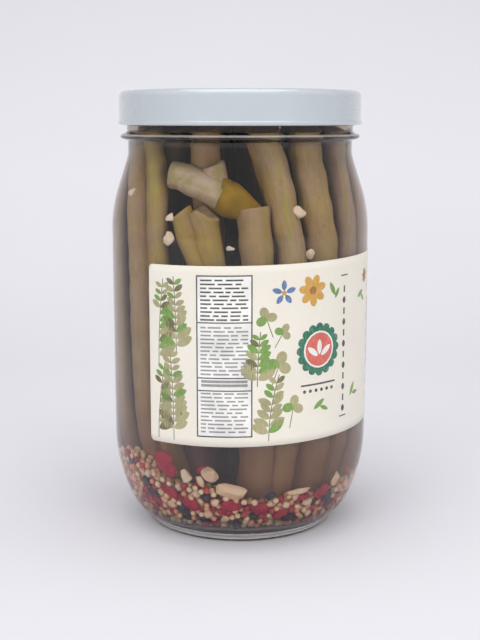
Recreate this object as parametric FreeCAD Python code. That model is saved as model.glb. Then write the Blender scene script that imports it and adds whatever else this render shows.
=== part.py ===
import FreeCAD, Part
import math
import os

from FreeCAD import Vector

# A shut glass jar of pickled green beans: the glass, its lug cap, its paper label and the brine.
# Millimetres, +Z up.  The origin is on the surface the jar stands on, on the jar's axis, and the
# middle of the side a shopper sees faces -Y.

# Overall sizes
JAR_HEIGHT = 151.6          # glass, from the surface it stands on to its rim
BODY_DIAMETER = 90.2        # across the straight panel that carries the label
WALL = 2.8                  # glass, everywhere but the base

# Foot and base
FOOT_INSET = 11.9           # the foot ring's outer side, in from the body's side
FOOT_CORNER = 1.2           # rounding of the foot ring's two lower edges
FOOT_FACE = 1.6             # width of the flat ring that the jar stands on
PUSH_UP = 3.4               # height of the underside's middle above the surface
BASE_WALL = 4.2             # glass in the middle of the base
BASE_LIFT = 3.0             # the inner heel's centre, up from the outer heel's

# Heel: a small arc off the foot, then a long one that runs into the panel
HEEL_LIFT = 1.2             # the small arc's lowest level, if it ran on to it
HEEL_CORNER_RADIUS = 13.8
HEEL_SIDE_RADIUS = 55.0
HEEL_BLEND = math.radians(25.9)

# Shoulder: an arc off the panel, a cone and a hollow arc into the neck
SHOULDER_STEP = 6.0         # the body's side, out from the neck's
SHOULDER_RADIUS = 48.0
SHOULDER_CONE = math.radians(18.0)
NECK_FILLET = 8.0
NECK_LENGTH = 3.4           # straight neck, from the hollow arc to the bead

# Transfer bead, the ring under the cap
BEAD_REACH = 2.6            # out from the neck
BEAD_ROOT = 3.2             # its height where it leaves the neck
BEAD_ROUND = 0.9            # rounding of its outer edge
BEAD_BELOW_CAP = 3.8        # its middle, down from the cap's lower edge

# Finish, the threaded mouth
FINISH_STEP = 0.3           # the mouth's side, out from the neck's
RIM_ROUND = 0.9
LEADS = 6                   # thread ridges, one for each of the cap's lugs
LEAD_RADIUS = 1.2           # how far a ridge stands out from the mouth's side
LEAD_SPAN = 40.0            # degrees
LEAD_TILT = 3.0             # degrees

# Cap
SHEET = 0.4                 # lacquered sheet metal
SEAL_GAP = 0.3              # rim to the cap's underside, the thickness of the sealing ring
LEAD_CLEARANCE = 1.1        # thread ridges to the cap's skirt
CAP_HEIGHT = 11.7
CAP_CORNER = 2.2            # outer rounding between top and skirt
CURL_RADIUS = 0.8           # rolled lower edge
CURL_PROUD = 0.4            # the roll, out from the skirt
RECESS_CLEARANCE = 0.6      # the sunk panel's wall, in from the bore
RECESS_DEPTH = 1.2
BUTTON_RADIUS = 14.0        # the vacuum button, drawn down on a sealed jar
BUTTON_STEP = 0.5
RECESS_DRAFT = 0.4          # how far the sunk panel's wall leans outwards
PRESS_ROUND = 0.55          # rounding of the steps pressed into the panel
LUG_SPAN = 14.0             # degrees
LUG_HEIGHT = 1.2
LUG_CLEARANCE = 0.4         # a lug's tip to the glass
LUG_PLAY = 1.8              # a lug's top to the underside of a ridge, at the ridge's middle

# Label
PAPER = 0.15
GLUE = 0.05
LABEL_START = -41.2         # degrees round from the front, towards +X, to its left end
LABEL_SPAN = 280.0          # degrees
LABEL_LOW_MARGIN = 3.65     # clear panel under the label, at its left end
LABEL_HIGH_MARGIN = 8.25    # clear panel over it, at its left end
LABEL_RISE = 0.8            # how much its edges climb for each radian, as it went on askew
LABEL_CORNER = 1.6
SEAM = 0.2                  # radians clear of the cylinder's own seam while it is drawn

# Brine
HEADSPACE = 9.6             # down from the rim to the liquid
WET_GAP = 0.05              # liquid to glass

# Worked out from the sizes above
BODY_RADIUS = BODY_DIAMETER / 2
NECK_RADIUS = BODY_RADIUS - SHOULDER_STEP
FINISH_RADIUS = NECK_RADIUS + FINISH_STEP
BORE_RADIUS = NECK_RADIUS - WALL
FOOT_RADIUS = BODY_RADIUS - FOOT_INSET
CAP_TOP = JAR_HEIGHT + SEAL_GAP + SHEET
CAP_LOW = CAP_TOP - CAP_HEIGHT
LUG_TOP = CAP_LOW + CURL_RADIUS + LUG_HEIGHT / 2
LEAD_LEVEL = LUG_TOP + LUG_PLAY + LEAD_RADIUS
BEAD_LEVEL = CAP_LOW - BEAD_BELOW_CAP
NECK_LOW = BEAD_LEVEL - BEAD_ROOT / 2 - NECK_LENGTH
HEEL_RUN = HEEL_SIDE_RADIUS - HEEL_CORNER_RADIUS
HEEL_CORNER_CENTRE = (BODY_RADIUS - HEEL_SIDE_RADIUS + HEEL_RUN * math.cos(HEEL_BLEND),
                      HEEL_LIFT + HEEL_CORNER_RADIUS)
PANEL_LOW = HEEL_CORNER_CENTRE[1] + HEEL_RUN * math.sin(HEEL_BLEND)
HEEL_SIDE_CENTRE = (BODY_RADIUS - HEEL_SIDE_RADIUS, PANEL_LOW)
CONE_LENGTH = (SHOULDER_STEP - (SHOULDER_RADIUS + NECK_FILLET) * (1 - math.cos(SHOULDER_CONE))) \
    / math.sin(SHOULDER_CONE)
PANEL_HIGH = NECK_LOW - (SHOULDER_RADIUS + NECK_FILLET) * math.sin(SHOULDER_CONE) \
    - CONE_LENGTH * math.cos(SHOULDER_CONE)
SHOULDER_CENTRE = (BODY_RADIUS - SHOULDER_RADIUS, PANEL_HIGH)
NECK_FILLET_CENTRE = (NECK_RADIUS + NECK_FILLET, NECK_LOW)
LEAD_TIP_RADIUS = FINISH_RADIUS + LEAD_RADIUS
SKIRT_RADIUS = LEAD_TIP_RADIUS + LEAD_CLEARANCE + SHEET
CURL_OUTER_RADIUS = SKIRT_RADIUS + CURL_PROUD
RECESS_RADIUS = BORE_RADIUS - RECESS_CLEARANCE - SHEET - RECESS_DRAFT
BRINE_LEVEL = JAR_HEIGHT - HEADSPACE


class Outline:
    """A half section in the plane of the axis, drawn point by point as (radius, height)."""

    def __init__(self, radius, height):
        self.start = (radius, height)
        self.here = (radius, height)
        self.edges = []

    @staticmethod
    def place(point):
        return Vector(point[0], 0, point[1])

    def line(self, radius, height):
        if math.dist(self.here, (radius, height)) > 1e-6:
            self.edges.append(Part.LineSegment(self.place(self.here),
                                               self.place((radius, height))).toShape())
            self.here = (radius, height)

    def arc(self, centre, radius, begin, end):
        """An arc about centre, from one angle to another, measured up from the outward side."""
        first, middle, last = [(centre[0] + radius * math.cos(turn),
                                centre[1] + radius * math.sin(turn))
                               for turn in (begin, (begin + end) / 2, end)]
        self.line(*first)
        self.edges.append(Part.Arc(self.place(first), self.place(middle),
                                   self.place(last)).toShape())
        self.here = last

    def dome(self, radius, height):
        """A shallow arc from the axis, level there, down to a point."""
        rise = self.here[1] - height
        bow = (radius ** 2 + rise ** 2) / (2 * rise)
        upright = math.pi / 2
        self.arc((0, self.here[1] - bow), bow, upright, upright - math.asin(radius / bow))

    def face(self):
        self.line(*self.start)
        return Part.Face(Part.Wire(self.edges))

    def solid(self):
        return turned(self.face())


def turned(face, degrees=360):
    return face.revolve(Vector(0, 0, 0), Vector(0, 0, 1), degrees)


def side_arcs_up(outline, inset):
    """Heel, panel and shoulder of the glass, inset by so much, from the foot to the neck."""
    half_turn = math.pi
    if inset:
        centre, radius, blend = inner_heel(inset)
        low = -math.pi / 2
    else:
        centre, radius, blend = HEEL_CORNER_CENTRE, HEEL_CORNER_RADIUS, HEEL_BLEND
        low = foot_meets_heel()
    outline.arc(centre, radius, low, -blend)
    outline.arc(HEEL_SIDE_CENTRE, HEEL_SIDE_RADIUS - inset, -blend, 0)
    outline.arc(SHOULDER_CENTRE, SHOULDER_RADIUS - inset, 0, SHOULDER_CONE)
    outline.arc(NECK_FILLET_CENTRE, NECK_FILLET + inset, half_turn + SHOULDER_CONE, half_turn)


def inner_heel(inset):
    """Centre, radius and end angle of the inner heel's small arc, which lies higher than the
    outer one, for the thicker glass at the base, and runs into the inset side."""
    centre = (HEEL_CORNER_CENTRE[0], HEEL_CORNER_CENTRE[1] + BASE_LIFT)
    across = centre[0] - HEEL_SIDE_CENTRE[0]
    down = HEEL_SIDE_CENTRE[1] - centre[1]
    return centre, HEEL_SIDE_RADIUS - inset - math.hypot(across, down), math.atan2(down, across)


def inner_floor(outline, inset):
    """The inner floor, a shallow dome from the axis out to the inner heel."""
    centre, radius, _ = inner_heel(inset)
    outline.dome(centre[0], centre[1] - radius)


def foot_meets_heel():
    """The angle on the heel's small arc where the foot ring's side runs into it."""
    across = FOOT_RADIUS - HEEL_CORNER_CENTRE[0]
    return -math.acos(across / HEEL_CORNER_RADIUS)


def glass_body():
    quarter = math.pi / 2
    face_outer = FOOT_RADIUS - FOOT_CORNER
    face_inner = face_outer - FOOT_FACE
    bead_tip = (NECK_RADIUS + BEAD_REACH - BEAD_ROUND, BEAD_LEVEL)
    outline = Outline(0, PUSH_UP)
    outline.dome(face_inner - FOOT_CORNER, FOOT_CORNER)
    outline.arc((face_inner, FOOT_CORNER), FOOT_CORNER, -2 * quarter, -quarter)
    outline.arc((face_outer, FOOT_CORNER), FOOT_CORNER, -quarter, 0)
    side_arcs_up(outline, 0)
    outline.line(NECK_RADIUS, BEAD_LEVEL - BEAD_ROOT / 2)
    outline.arc(bead_tip, BEAD_ROUND, -quarter, quarter)
    outline.line(FINISH_RADIUS, BEAD_LEVEL + BEAD_ROOT / 2)
    outline.arc((FINISH_RADIUS - RIM_ROUND, JAR_HEIGHT - RIM_ROUND), RIM_ROUND, 0, quarter)
    outline.line(0, JAR_HEIGHT)
    return outline.solid()


def glass_hollow():
    quarter = math.pi / 2
    outline = Outline(0, PUSH_UP + BASE_WALL)
    inner_floor(outline, WALL)
    side_arcs_up(outline, WALL)
    outline.line(BORE_RADIUS, JAR_HEIGHT - RIM_ROUND)
    outline.arc((BORE_RADIUS + RIM_ROUND, JAR_HEIGHT - RIM_ROUND), RIM_ROUND,
                2 * quarter, quarter)
    outline.line(0, JAR_HEIGHT)
    return outline.solid()


def thread_lead(turn):
    """One ridge of the mouth's broken thread, a length of ring tipped a little off level."""
    ring = Part.makeTorus(FINISH_RADIUS, LEAD_RADIUS, Vector(0, 0, 0), Vector(0, 0, 1),
                          0, 360, LEAD_SPAN)
    ring.rotate(Vector(0, 0, 0), Vector(0, 0, 1), -LEAD_SPAN / 2)
    ring.rotate(Vector(0, 0, 0), Vector(1, 0, 0), LEAD_TILT)
    ring.rotate(Vector(0, 0, 0), Vector(0, 0, 1), turn)
    ring.translate(Vector(0, 0, LEAD_LEVEL))
    return ring


def jar_glass():
    leads = [thread_lead(360 * lead / LEADS) for lead in range(LEADS)]
    return glass_body().fuse(leads).cut(glass_hollow())


def rounded_path(points, radii):
    """A wire through points given as (radius, height), its inner corners rounded."""
    points = [Outline.place(point) for point in points]
    here = points[0]
    edges = []
    for before, corner, after, radius in zip(points, points[1:], points[2:], radii):
        back = (before - corner).normalize()
        onward = (after - corner).normalize()
        half = back.getAngle(onward) / 2
        reach = radius / math.tan(half)
        middle = (back + onward).normalize() * (radius / math.sin(half) - radius)
        edges.append(Part.LineSegment(here, corner + back * reach).toShape())
        edges.append(Part.Arc(corner + back * reach, corner + middle,
                              corner + onward * reach).toShape())
        here = corner + onward * reach
    edges.append(Part.LineSegment(here, points[-1]).toShape())
    return Part.Wire(edges)


def cap_sheet():
    """The cap's pressed sheet, drawn along its upper face and thickened inwards."""
    recess = CAP_TOP - RECESS_DEPTH
    button = recess - BUTTON_STEP
    path = [(0, button),
            (BUTTON_RADIUS, button),
            (BUTTON_RADIUS + BUTTON_STEP, recess),
            (RECESS_RADIUS, recess),
            (RECESS_RADIUS + RECESS_DRAFT, CAP_TOP),
            (SKIRT_RADIUS, CAP_TOP),
            (SKIRT_RADIUS, CAP_LOW + CURL_RADIUS)]
    bends = 4 * [PRESS_ROUND] + [CAP_CORNER]
    section = rounded_path(path, bends)
    return section.makeOffset2D(-SHEET, fill=True, openResult=True)


def cap_curl():
    centre = Vector(CURL_OUTER_RADIUS - CURL_RADIUS, 0, CAP_LOW + CURL_RADIUS)
    ring = Part.Circle(centre, Vector(0, 1, 0), CURL_RADIUS).toShape()
    return Part.Face(Part.Wire(ring))


def cap_lug(turn):
    """A tongue of the rolled edge pressed in under a thread ridge."""
    inner = FINISH_RADIUS + LUG_CLEARANCE
    outer = CURL_OUTER_RADIUS - CURL_RADIUS
    low = LUG_TOP - LUG_HEIGHT
    outline = Outline(inner, low)
    outline.line(outer, low)
    outline.line(outer, LUG_TOP)
    outline.line(inner, LUG_TOP)
    lug = turned(outline.face(), LUG_SPAN)
    lug.rotate(Vector(0, 0, 0), Vector(0, 0, 1), turn - LUG_SPAN / 2)
    return lug


def lid():
    section = cap_sheet().fuse(cap_curl())
    ring = turned(section.removeSplitter().Faces[0])
    lugs = [cap_lug(360 * lead / LEADS) for lead in range(LEADS)]
    return ring.fuse(lugs)


def label():
    """Paper wrapped on the panel, slightly skewed, drawn on a cylinder and thickened."""
    panel = Part.Cylinder()
    panel.Radius = BODY_RADIUS + GLUE
    face = Part.Face(panel, Part.Wire(label_edges(panel)))
    face.validate()
    sheet = face.makeOffsetShape(PAPER, 1e-4, fill=True)
    front = -90
    sheet.rotate(Vector(0, 0, 0), Vector(0, 0, 1), front + LABEL_START - math.degrees(SEAM))
    return sheet


def label_edges(panel):
    """The label's outline on the panel, in (angle, height), every corner a quarter ellipse."""
    span = math.radians(LABEL_SPAN)
    bend_turn = LABEL_CORNER / panel.Radius
    low = PANEL_LOW + LABEL_LOW_MARGIN
    high = PANEL_HIGH - LABEL_HIGH_MARGIN

    def at(turn, height):
        return FreeCAD.Base.Vector2d(SEAM + turn, height + LABEL_RISE * turn)

    corners = [[at(0, low + LABEL_CORNER), at(0, low), at(bend_turn, low)],
               [at(span - bend_turn, low), at(span, low), at(span, low + LABEL_CORNER)],
               [at(span, high - LABEL_CORNER), at(span, high), at(span - bend_turn, high)],
               [at(bend_turn, high), at(0, high), at(0, high - LABEL_CORNER)]]
    edges = []
    for corner, following in zip(corners, corners[1:] + corners[:1]):
        bend = Part.Geom2d.BSplineCurve2d()
        bend.buildFromPolesMultsKnots(corner, [3, 3], [0, 1], False, 2, [1, math.sqrt(0.5), 1])
        edges.append(bend.toShape(panel))
        edges.append(Part.Geom2d.Line2dSegment(corner[2], following[0]).toShape(panel))
    return edges


def brine():
    """The liquid, out to the glass and up to its level."""
    inset = WALL + WET_GAP
    outline = Outline(0, PUSH_UP + BASE_WALL + WET_GAP)
    inner_floor(outline, inset)
    side_arcs_up(outline, inset)
    outline.line(NECK_RADIUS - inset, BRINE_LEVEL)
    outline.line(0, BRINE_LEVEL)
    return outline.solid()


NODES = {"jar_glass": jar_glass, "lid": lid, "label": label, "brine": brine}

os.makedirs("parts", exist_ok=True)
for node, make in NODES.items():
    shape = make()
    shape.exportStep(f"parts/{node}.step")
    print(node, len(shape.Solids), "solid,", round(shape.Volume / 1000, 2), "cm3")
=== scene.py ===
import math

import bmesh
import bpy
import numpy as np
from bpy.props import FloatProperty, FloatVectorProperty, IntProperty, PointerProperty
from mathutils import Matrix, Vector, noise


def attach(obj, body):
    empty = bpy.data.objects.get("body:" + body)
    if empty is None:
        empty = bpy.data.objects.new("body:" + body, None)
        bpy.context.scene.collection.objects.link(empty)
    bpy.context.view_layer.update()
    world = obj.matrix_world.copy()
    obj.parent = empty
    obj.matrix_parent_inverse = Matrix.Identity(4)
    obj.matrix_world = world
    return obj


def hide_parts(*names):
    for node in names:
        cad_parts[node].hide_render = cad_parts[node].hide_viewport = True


bl_info = {
    "name": "Pickled green bean jar",
    "version": (1, 0, 0),
    "blender": (4, 5, 0),
    "location": "3D View > Sidebar > Bean jar",
    "description": "Finished looks of a shut glass jar of pickled green beans",
    "category": "Object",
}

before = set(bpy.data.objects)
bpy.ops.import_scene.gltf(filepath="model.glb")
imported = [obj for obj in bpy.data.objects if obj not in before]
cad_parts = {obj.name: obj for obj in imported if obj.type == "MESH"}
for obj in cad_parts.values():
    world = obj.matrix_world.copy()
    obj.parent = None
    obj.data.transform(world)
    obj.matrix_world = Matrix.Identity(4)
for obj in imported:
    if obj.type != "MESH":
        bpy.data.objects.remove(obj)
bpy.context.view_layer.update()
MM = 0.001
TAU = 2 * math.pi
QUARTER = math.pi / 2
HAIR = 1e-6  # points nearer than this are one


def size(name, description, millimetres):
    return FloatProperty(name=name, description=description, default=millimetres * MM,
                         unit="LENGTH", precision=5)


def turn(name, description, degrees):
    return FloatProperty(name=name, description=description, default=math.radians(degrees),
                         subtype="ANGLE")


def share(name, description, value):
    return FloatProperty(name=name, description=description, default=value, min=0.0, max=1.0,
                         subtype="FACTOR")


def paint(name, description, *colour):
    return FloatVectorProperty(name=name, description=description, default=colour, size=3,
                               min=0.0, max=1.0, subtype="COLOR")


def count(name, description, number):
    return IntProperty(name=name, description=description, default=number, min=0)


def amount(name, description, number):
    return FloatProperty(name=name, description=description, default=number, min=0.0)


def display(red, green, blue):
    """A colour as a screen shows it, 0 to 255, as the linear colour that a shader takes."""
    return tuple(((c / 255 + 0.055) / 1.055) ** 2.4 if c > 10 else c / 255 / 12.92
                 for c in (red, green, blue))


def shade(colour, share_kept):
    return tuple(channel * share_kept for channel in colour)


# --------------------------------------------------------------------------- settings


class JarGlassSettings(bpy.types.PropertyGroup):
    height: size("Height", "From the surface it stands on to the rim", 151.6)
    body_diameter: size("Body", "Across the straight panel", 90.2)
    wall: size("Wall", "Thickness of the glass", 2.8)
    push_up: size("Push-up", "Height of the underside's middle", 3.4)
    base_wall: size("Base", "Glass in the middle of the base", 4.2)
    base_lift: size("Base lift", "The inner heel's centre, up from the outer heel's", 3.0)
    foot_radius: size("Foot", "Outer radius of the foot ring", 33.2)
    shoulder_step: size("Shoulder", "The body's side, out from the neck's", 6.0)
    bead_reach: size("Bead", "How far the ring under the cap stands out", 2.6)
    ripple: size("Ripple", "Unevenness of the inner wall", 0.09)
    colour: paint("Glass colour", "Tint of the glass", 0.975, 0.985, 0.98)


class LidSettings(bpy.types.PropertyGroup):
    height: size("Height", "From its lower edge to its top", 11.7)
    top: size("Top", "Level of its top", 152.3)
    sheet: size("Sheet", "Thickness of the pressed sheet", 0.4)
    skirt_radius: size("Skirt", "Outer radius of the skirt", 42.1)
    curl_radius: size("Roll", "Radius of the rolled lower edge", 0.8)
    inner_lacquer: paint("Inner lacquer", "Colour inside the cap", *display(112, 94, 70))
    lacquer: paint("Lacquer", "Colour of the lacquer", *display(190, 197, 201))


class LabelSettings(bpy.types.PropertyGroup):
    start: turn("Left end", "Round from the front to the label's left end", -41.2)
    span: turn("Span", "How far the label goes round", 280.0)
    low: size("Lower edge", "Its height at the left end", 36.65)
    high: size("Upper edge", "Its height at the left end", 96.21)
    rise: size("Rise", "How much its edges climb for each radian", 0.8)
    corner: size("Corner", "Rounding of the corners", 1.6)
    paper: size("Paper", "Thickness of the paper", 0.12)
    paper_colour: paint("Paper colour", "The printed ground", *display(236, 230, 216))
    seed: count("Seed", "Which random leaves", 5)


class BrineSettings(bpy.types.PropertyGroup):
    level: size("Level", "Height of the liquid", 142.0)
    overlap: size("Overlap", "How far it reaches into the glass", 0.15)
    colour: paint("Colour", "Tint of the liquid", *display(252, 248, 240))
    murk_colour: paint("Murk", "What clear light picks up on its way through",
                       *display(206, 176, 138))
    murk: amount("Murkiness", "Absorption for each metre", 34.0)
    haze_colour: paint("Haze", "Colour of the cloudiness", *display(196, 180, 196))
    haze: amount("Haziness", "Cloudiness for each metre", 4.0)


class BeanSettings(bpy.types.PropertyGroup):
    fresh: paint("Olive", "Greener beans", *display(194, 164, 84))
    dull: paint("Khaki", "Duller beans", *display(204, 172, 118))
    dusky: paint("Mauve", "Beans gone grey and pink", *display(200, 170, 156))
    amber: paint("Amber", "A browned bean", *display(186, 146, 26))
    pale: paint("Cut face", "Pale inside of a cut bean", *display(232, 206, 182))
    seam: paint("Seam", "The yellow-green line along a bean", *display(190, 178, 84))
    # painted haze and shade: lower ends darker and mauve, as the cloudy brine makes them look
    steeped: paint("Steeped", "Lower ends, coloured by the pepper", *display(168, 124, 110))
    # painted shade: how much of their colour the beans in the middle show
    middle_light: share("Middle", "Lightness of the beans in the jar's middle", 0.16)
    seed: count("Seed", "Which random unevenness", 7)


class SpiceSettings(bpy.types.PropertyGroup):
    garlic: paint("Garlic", "Slices of garlic", *display(255, 242, 214))
    red_pepper: paint("Red pepper", "Pieces of red pepper", *display(214, 2, 66))
    mustard_colour: paint("Mustard", "The palest seeds", *display(255, 248, 214))
    peppercorn: paint("Peppercorn", "Peppercorns at the glass", *display(62, 60, 96))
    pulp: paint("Pulp", "The soft bed under the seeds", *display(248, 136, 120))
    mustard: count("Mustard seeds", "How many settled seeds", 1250)
    mustard_size: size("Mustard size", "Diameter of a seed", 2.3)
    pepper: count("Peppercorns", "How many", 34)
    seed: count("Seed", "Which random placing", 11)


class StageSettings(bpy.types.PropertyGroup):
    floor_colour: paint("Floor", "Colour of the floor and backdrop", *display(230, 229, 233))
    room_colour: paint("Room", "Colour of the light from all round", 0.95, 0.955, 1.0)
    room_light: amount("Room light", "Strength of the light from all round", 0.6)
    overhead_power: amount("Overhead", "Power of the lamp above, in watts", 5.2)
    fill_power: amount("Fills", "Power of each lamp at the sides, in watts", 3.7)
    lens: amount("Lens", "Focal length in millimetres", 64.13)
    camera_distance: size("Camera distance", "From the jar's axis", 404.3)
    camera_height: size("Camera height", "Above the surface the jar stands on", 143.5)
    camera_pitch: turn("Camera pitch", "Down from level", 10.12)


# --------------------------------------------------------------------------- mesh helpers


def arc(centre, radius, begin, end, step=0.5 * MM):
    """Points on an arc in the half plane (radius, height), angles up from the outward side."""
    number = max(2, int(abs(end - begin) * radius / step) + 1)
    return [(centre[0] + radius * math.cos(a), centre[1] + radius * math.sin(a))
            for a in np.linspace(begin, end, number)]


def straight(first, last, step=1.5 * MM):
    number = max(2, int(math.dist(first, last) / step) + 1)
    return [(first[0] + (last[0] - first[0]) * t, first[1] + (last[1] - first[1]) * t)
            for t in np.linspace(0, 1, number)]


def joined(*runs):
    """One outline from several runs of points, without repeats."""
    points = []
    for run in runs:
        for point in run:
            if not points or math.dist(points[-1], point) > HAIR:
                points.append((max(point[0], 0.0), point[1]))
    return points


def dome(height, radius, edge):
    """From the axis, level there, down to a point at that radius and height."""
    rise = height - edge
    bow = (radius ** 2 + rise ** 2) / (2 * rise)
    return arc((0, height - bow), bow, QUARTER, QUARTER - math.asin(radius / bow), 1.0 * MM)


def rounded(points, radii, step=0.12 * MM):
    """A path with its inner corners rounded."""
    points = [Vector(p) for p in points]
    path = [tuple(points[0])]
    for before, corner, after, radius in zip(points, points[1:], points[2:], radii):
        back, onward = (before - corner).normalized(), (after - corner).normalized()
        half = back.angle(onward) / 2
        middle = corner + (back + onward).normalized() * (radius / math.sin(half))
        first = corner + back * (radius / math.tan(half)) - middle
        last = corner + onward * (radius / math.tan(half)) - middle
        sweep = first.angle_signed(last)
        number = max(3, int(abs(sweep) * radius / step))
        for t in np.linspace(0, 1, number):
            swung = Matrix.Rotation(-sweep * t, 2) @ first
            path.append(tuple(middle + swung))
    path.append(tuple(points[-1]))
    return path


def around(angle, height, radius):
    """A point by its angle round from the front, in radians, its height and its radius."""
    return np.stack(np.broadcast_arrays(radius * np.sin(angle), -radius * np.cos(angle),
                                        height), -1)


def place(angle, height, radius):
    """The same with the angle in degrees."""
    return around(np.radians(angle), height, radius)


def toward(angle):
    """A step of length one on the flat, up from the right by this angle in radians."""
    return np.array([math.cos(angle), math.sin(angle)])


def strip(low, high, here, ahead):
    """Four-sided faces between two rings of points that start at low and at high."""
    return np.stack([low + here, low + ahead, high + ahead, high + here], 1).tolist()


def unit(vectors):
    return vectors / np.linalg.norm(vectors, axis=1)[:, None]


def build(name, points, faces, smooth=True, **attributes):
    """A mesh object from plain points and faces, with float attributes on its points."""
    mesh = bpy.data.meshes.new(name)
    mesh.from_pydata(np.asarray(points, float).tolist(), [],
                     faces.tolist() if isinstance(faces, np.ndarray) else faces)
    for key, values in attributes.items():
        made = mesh.attributes.new(key, "FLOAT", "POINT")
        made.data.foreach_set("value", np.asarray(values, np.float32))
    mesh.validate()
    if smooth:
        mesh.shade_smooth()
    made = bpy.data.objects.new(name, mesh)
    bpy.context.scene.collection.objects.link(made)
    return made


def turned(name, outline, segments, reshape=None):
    """A solid turned about the axis from an outline of (radius, height) that is either closed
    or starts and ends on the axis.  reshape(angles, radius, height) may move a ring's points."""
    angles = np.arange(segments) * TAU / segments
    on_axis = outline[0][0] < HAIR
    rings = outline[1:-1] if on_axis else outline
    points = []
    for radius, height in rings:
        radii, heights = np.full(segments, radius), np.full(segments, height)
        if reshape:
            radii, heights = reshape(angles, radii, heights)
        points.append(around(angles, heights, radii))
    points = np.concatenate(points)
    number = len(rings)
    here = np.arange(segments)
    ahead = np.roll(here, -1)
    faces = []
    for ring in range(number - 1 if on_axis else number):
        faces += strip(ring * segments, (ring + 1) % number * segments, here, ahead)
    if on_axis:
        first, last = len(points), len(points) + 1
        points = np.concatenate([points, [(0, 0, outline[0][1]), (0, 0, outline[-1][1])]])
        end = (number - 1) * segments
        faces += np.stack([np.full(segments, first), ahead, here], 1).tolist()
        faces += np.stack([np.full(segments, last), end + here, end + ahead], 1).tolist()
    return build(name, points, faces)


class Heap:
    """Meshes of one kind gathered into a single piece."""

    def __init__(self):
        self.points, self.faces, self.values, self.total = [], [], {}, 0

    def add(self, points, faces, **values):
        points = np.asarray(points, float)
        self.points.append(points)
        self.faces += [[index + self.total for index in face] for face in faces]
        for key, value in values.items():
            self.values.setdefault(key, []).append(
                np.broadcast_to(np.asarray(value, float), (len(points),)))
        self.total += len(points)

    def piece(self, name, smooth=True):
        values = {key: np.concatenate(found) for key, found in self.values.items()}
        return build(name, np.concatenate(self.points), self.faces, smooth, **values)


def smooth_line(knots, number):
    """Points on a Catmull-Rom line through the knots, evenly many between each pair."""
    knots = np.asarray(knots, float)
    padded = np.concatenate([[2 * knots[0] - knots[1]], knots, [2 * knots[-1] - knots[-2]]])
    spans = len(knots) - 1
    t = np.linspace(0, spans, number)
    at = np.minimum(t.astype(int), spans - 1)
    u = (t - at)[:, None]
    a, b, c, d = (padded[at + k] for k in range(4))
    return 0.5 * (2 * b + (c - a) * u + (2 * a - 5 * b + 4 * c - d) * u ** 2
                  + (3 * b - a - 3 * c + d) * u ** 3)


def face_values(piece, kind):
    """Centres or normals of a piece's faces."""
    values = np.empty(len(piece.data.polygons) * 3)
    piece.data.polygons.foreach_get(kind, values)
    return values.reshape(-1, 3)


def share_out(piece, which):
    """Gives each face the material of this number."""
    piece.data.polygons.foreach_set("material_index", which.astype(np.int32))


def seat(piece, slot, *replaces):
    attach(piece, "root")
    if replaces:
        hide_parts(*replaces)


# --------------------------------------------------------------------------- glass outline


class JarShape:
    """The jar's curves, shared by the glass, the brine and everything that lies in them."""

    def __init__(self, jar):
        self.jar = jar
        self.body = jar.body_diameter / 2
        self.neck = self.body - jar.shoulder_step
        self.finish = self.neck + 0.3 * MM  # the mouth's side, under the cap
        # The heel: a small arc from the foot, then a large one that runs into the panel.
        self.heel_centre, self.heel_radius = (27.16 * MM, 15.0 * MM), 13.8 * MM
        self.blend = math.radians(25.9)
        self.panel_low, self.panel_high = 33.0 * MM, 104.46 * MM
        self.side_radius = 55.0 * MM
        self.side_centre = (self.body - self.side_radius, self.panel_low)
        # The shoulder: an arc, a cone, and a fillet up to the neck.
        self.shoulder_radius, self.cone = 48.0 * MM, math.radians(18.0)
        self.shoulder_centre = (self.body - self.shoulder_radius, self.panel_high)
        self.fillet, self.neck_low = 8.0 * MM, 131.8 * MM
        self.fillet_centre = (self.neck + self.fillet, self.neck_low)

    def inner_heel(self, inset):
        """Centre, radius and end angle of the small arc inside the heel."""
        centre = (self.heel_centre[0], self.heel_centre[1] + self.jar.base_lift)
        across = centre[0] - self.side_centre[0]
        down = self.side_centre[1] - centre[1]
        return (centre, self.side_radius - inset - math.hypot(across, down),
                math.atan2(down, across))

    def side(self, inset):
        """Heel, panel and shoulder, inset by so much, from the foot up to the neck."""
        if inset:
            centre, radius, blend = self.inner_heel(inset)
            low = -QUARTER
        else:
            centre, radius, blend = self.heel_centre, self.heel_radius, self.blend
            low = -math.acos((self.jar.foot_radius - centre[0]) / radius)
        return joined(
            arc(centre, radius, low, -blend),
            arc(self.side_centre, self.side_radius - inset, -blend, 0, 0.8 * MM),
            straight((self.body - inset, self.panel_low), (self.body - inset, self.panel_high)),
            arc(self.shoulder_centre, self.shoulder_radius - inset, 0, self.cone, 0.7 * MM),
            arc(self.fillet_centre, self.fillet + inset, math.pi + self.cone, math.pi))

    def inner(self, heights):
        """Inner radius at these heights."""
        line = np.array(self.side(self.jar.wall) + [(self.neck - self.jar.wall, self.jar.height)])
        return np.interp(heights, line[:, 1], line[:, 0])

    def floor_dome(self, inset, top):
        """The inner floor, from the axis out to the inner heel."""
        centre, radius, _ = self.inner_heel(inset)
        return dome(top, centre[0], centre[1] - radius)

    def floor(self, radii):
        """Height of the inner floor at these radii."""
        wall = self.jar.wall
        centre, radius, blend = self.inner_heel(wall)
        line = np.array(joined(self.floor_dome(wall, self.jar.push_up + self.jar.base_wall),
                               arc(centre, radius, -QUARTER, -blend)))
        return np.interp(radii, line[:, 0], line[:, 1])


# --------------------------------------------------------------------------- materials


GLASS_IOR, BRINE_IOR = 1.5, 1.335
MIRROR, NO_MIRROR = (1.0, 1.0, 1.0), (0.0, 0.0, 0.0)
# Scuffed glass: partly wear, partly a painted highlight on the bead's crest and the foot.
SCUFFED_CLEARNESS = 0.75
GLASS_SEGMENTS = 224


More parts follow.
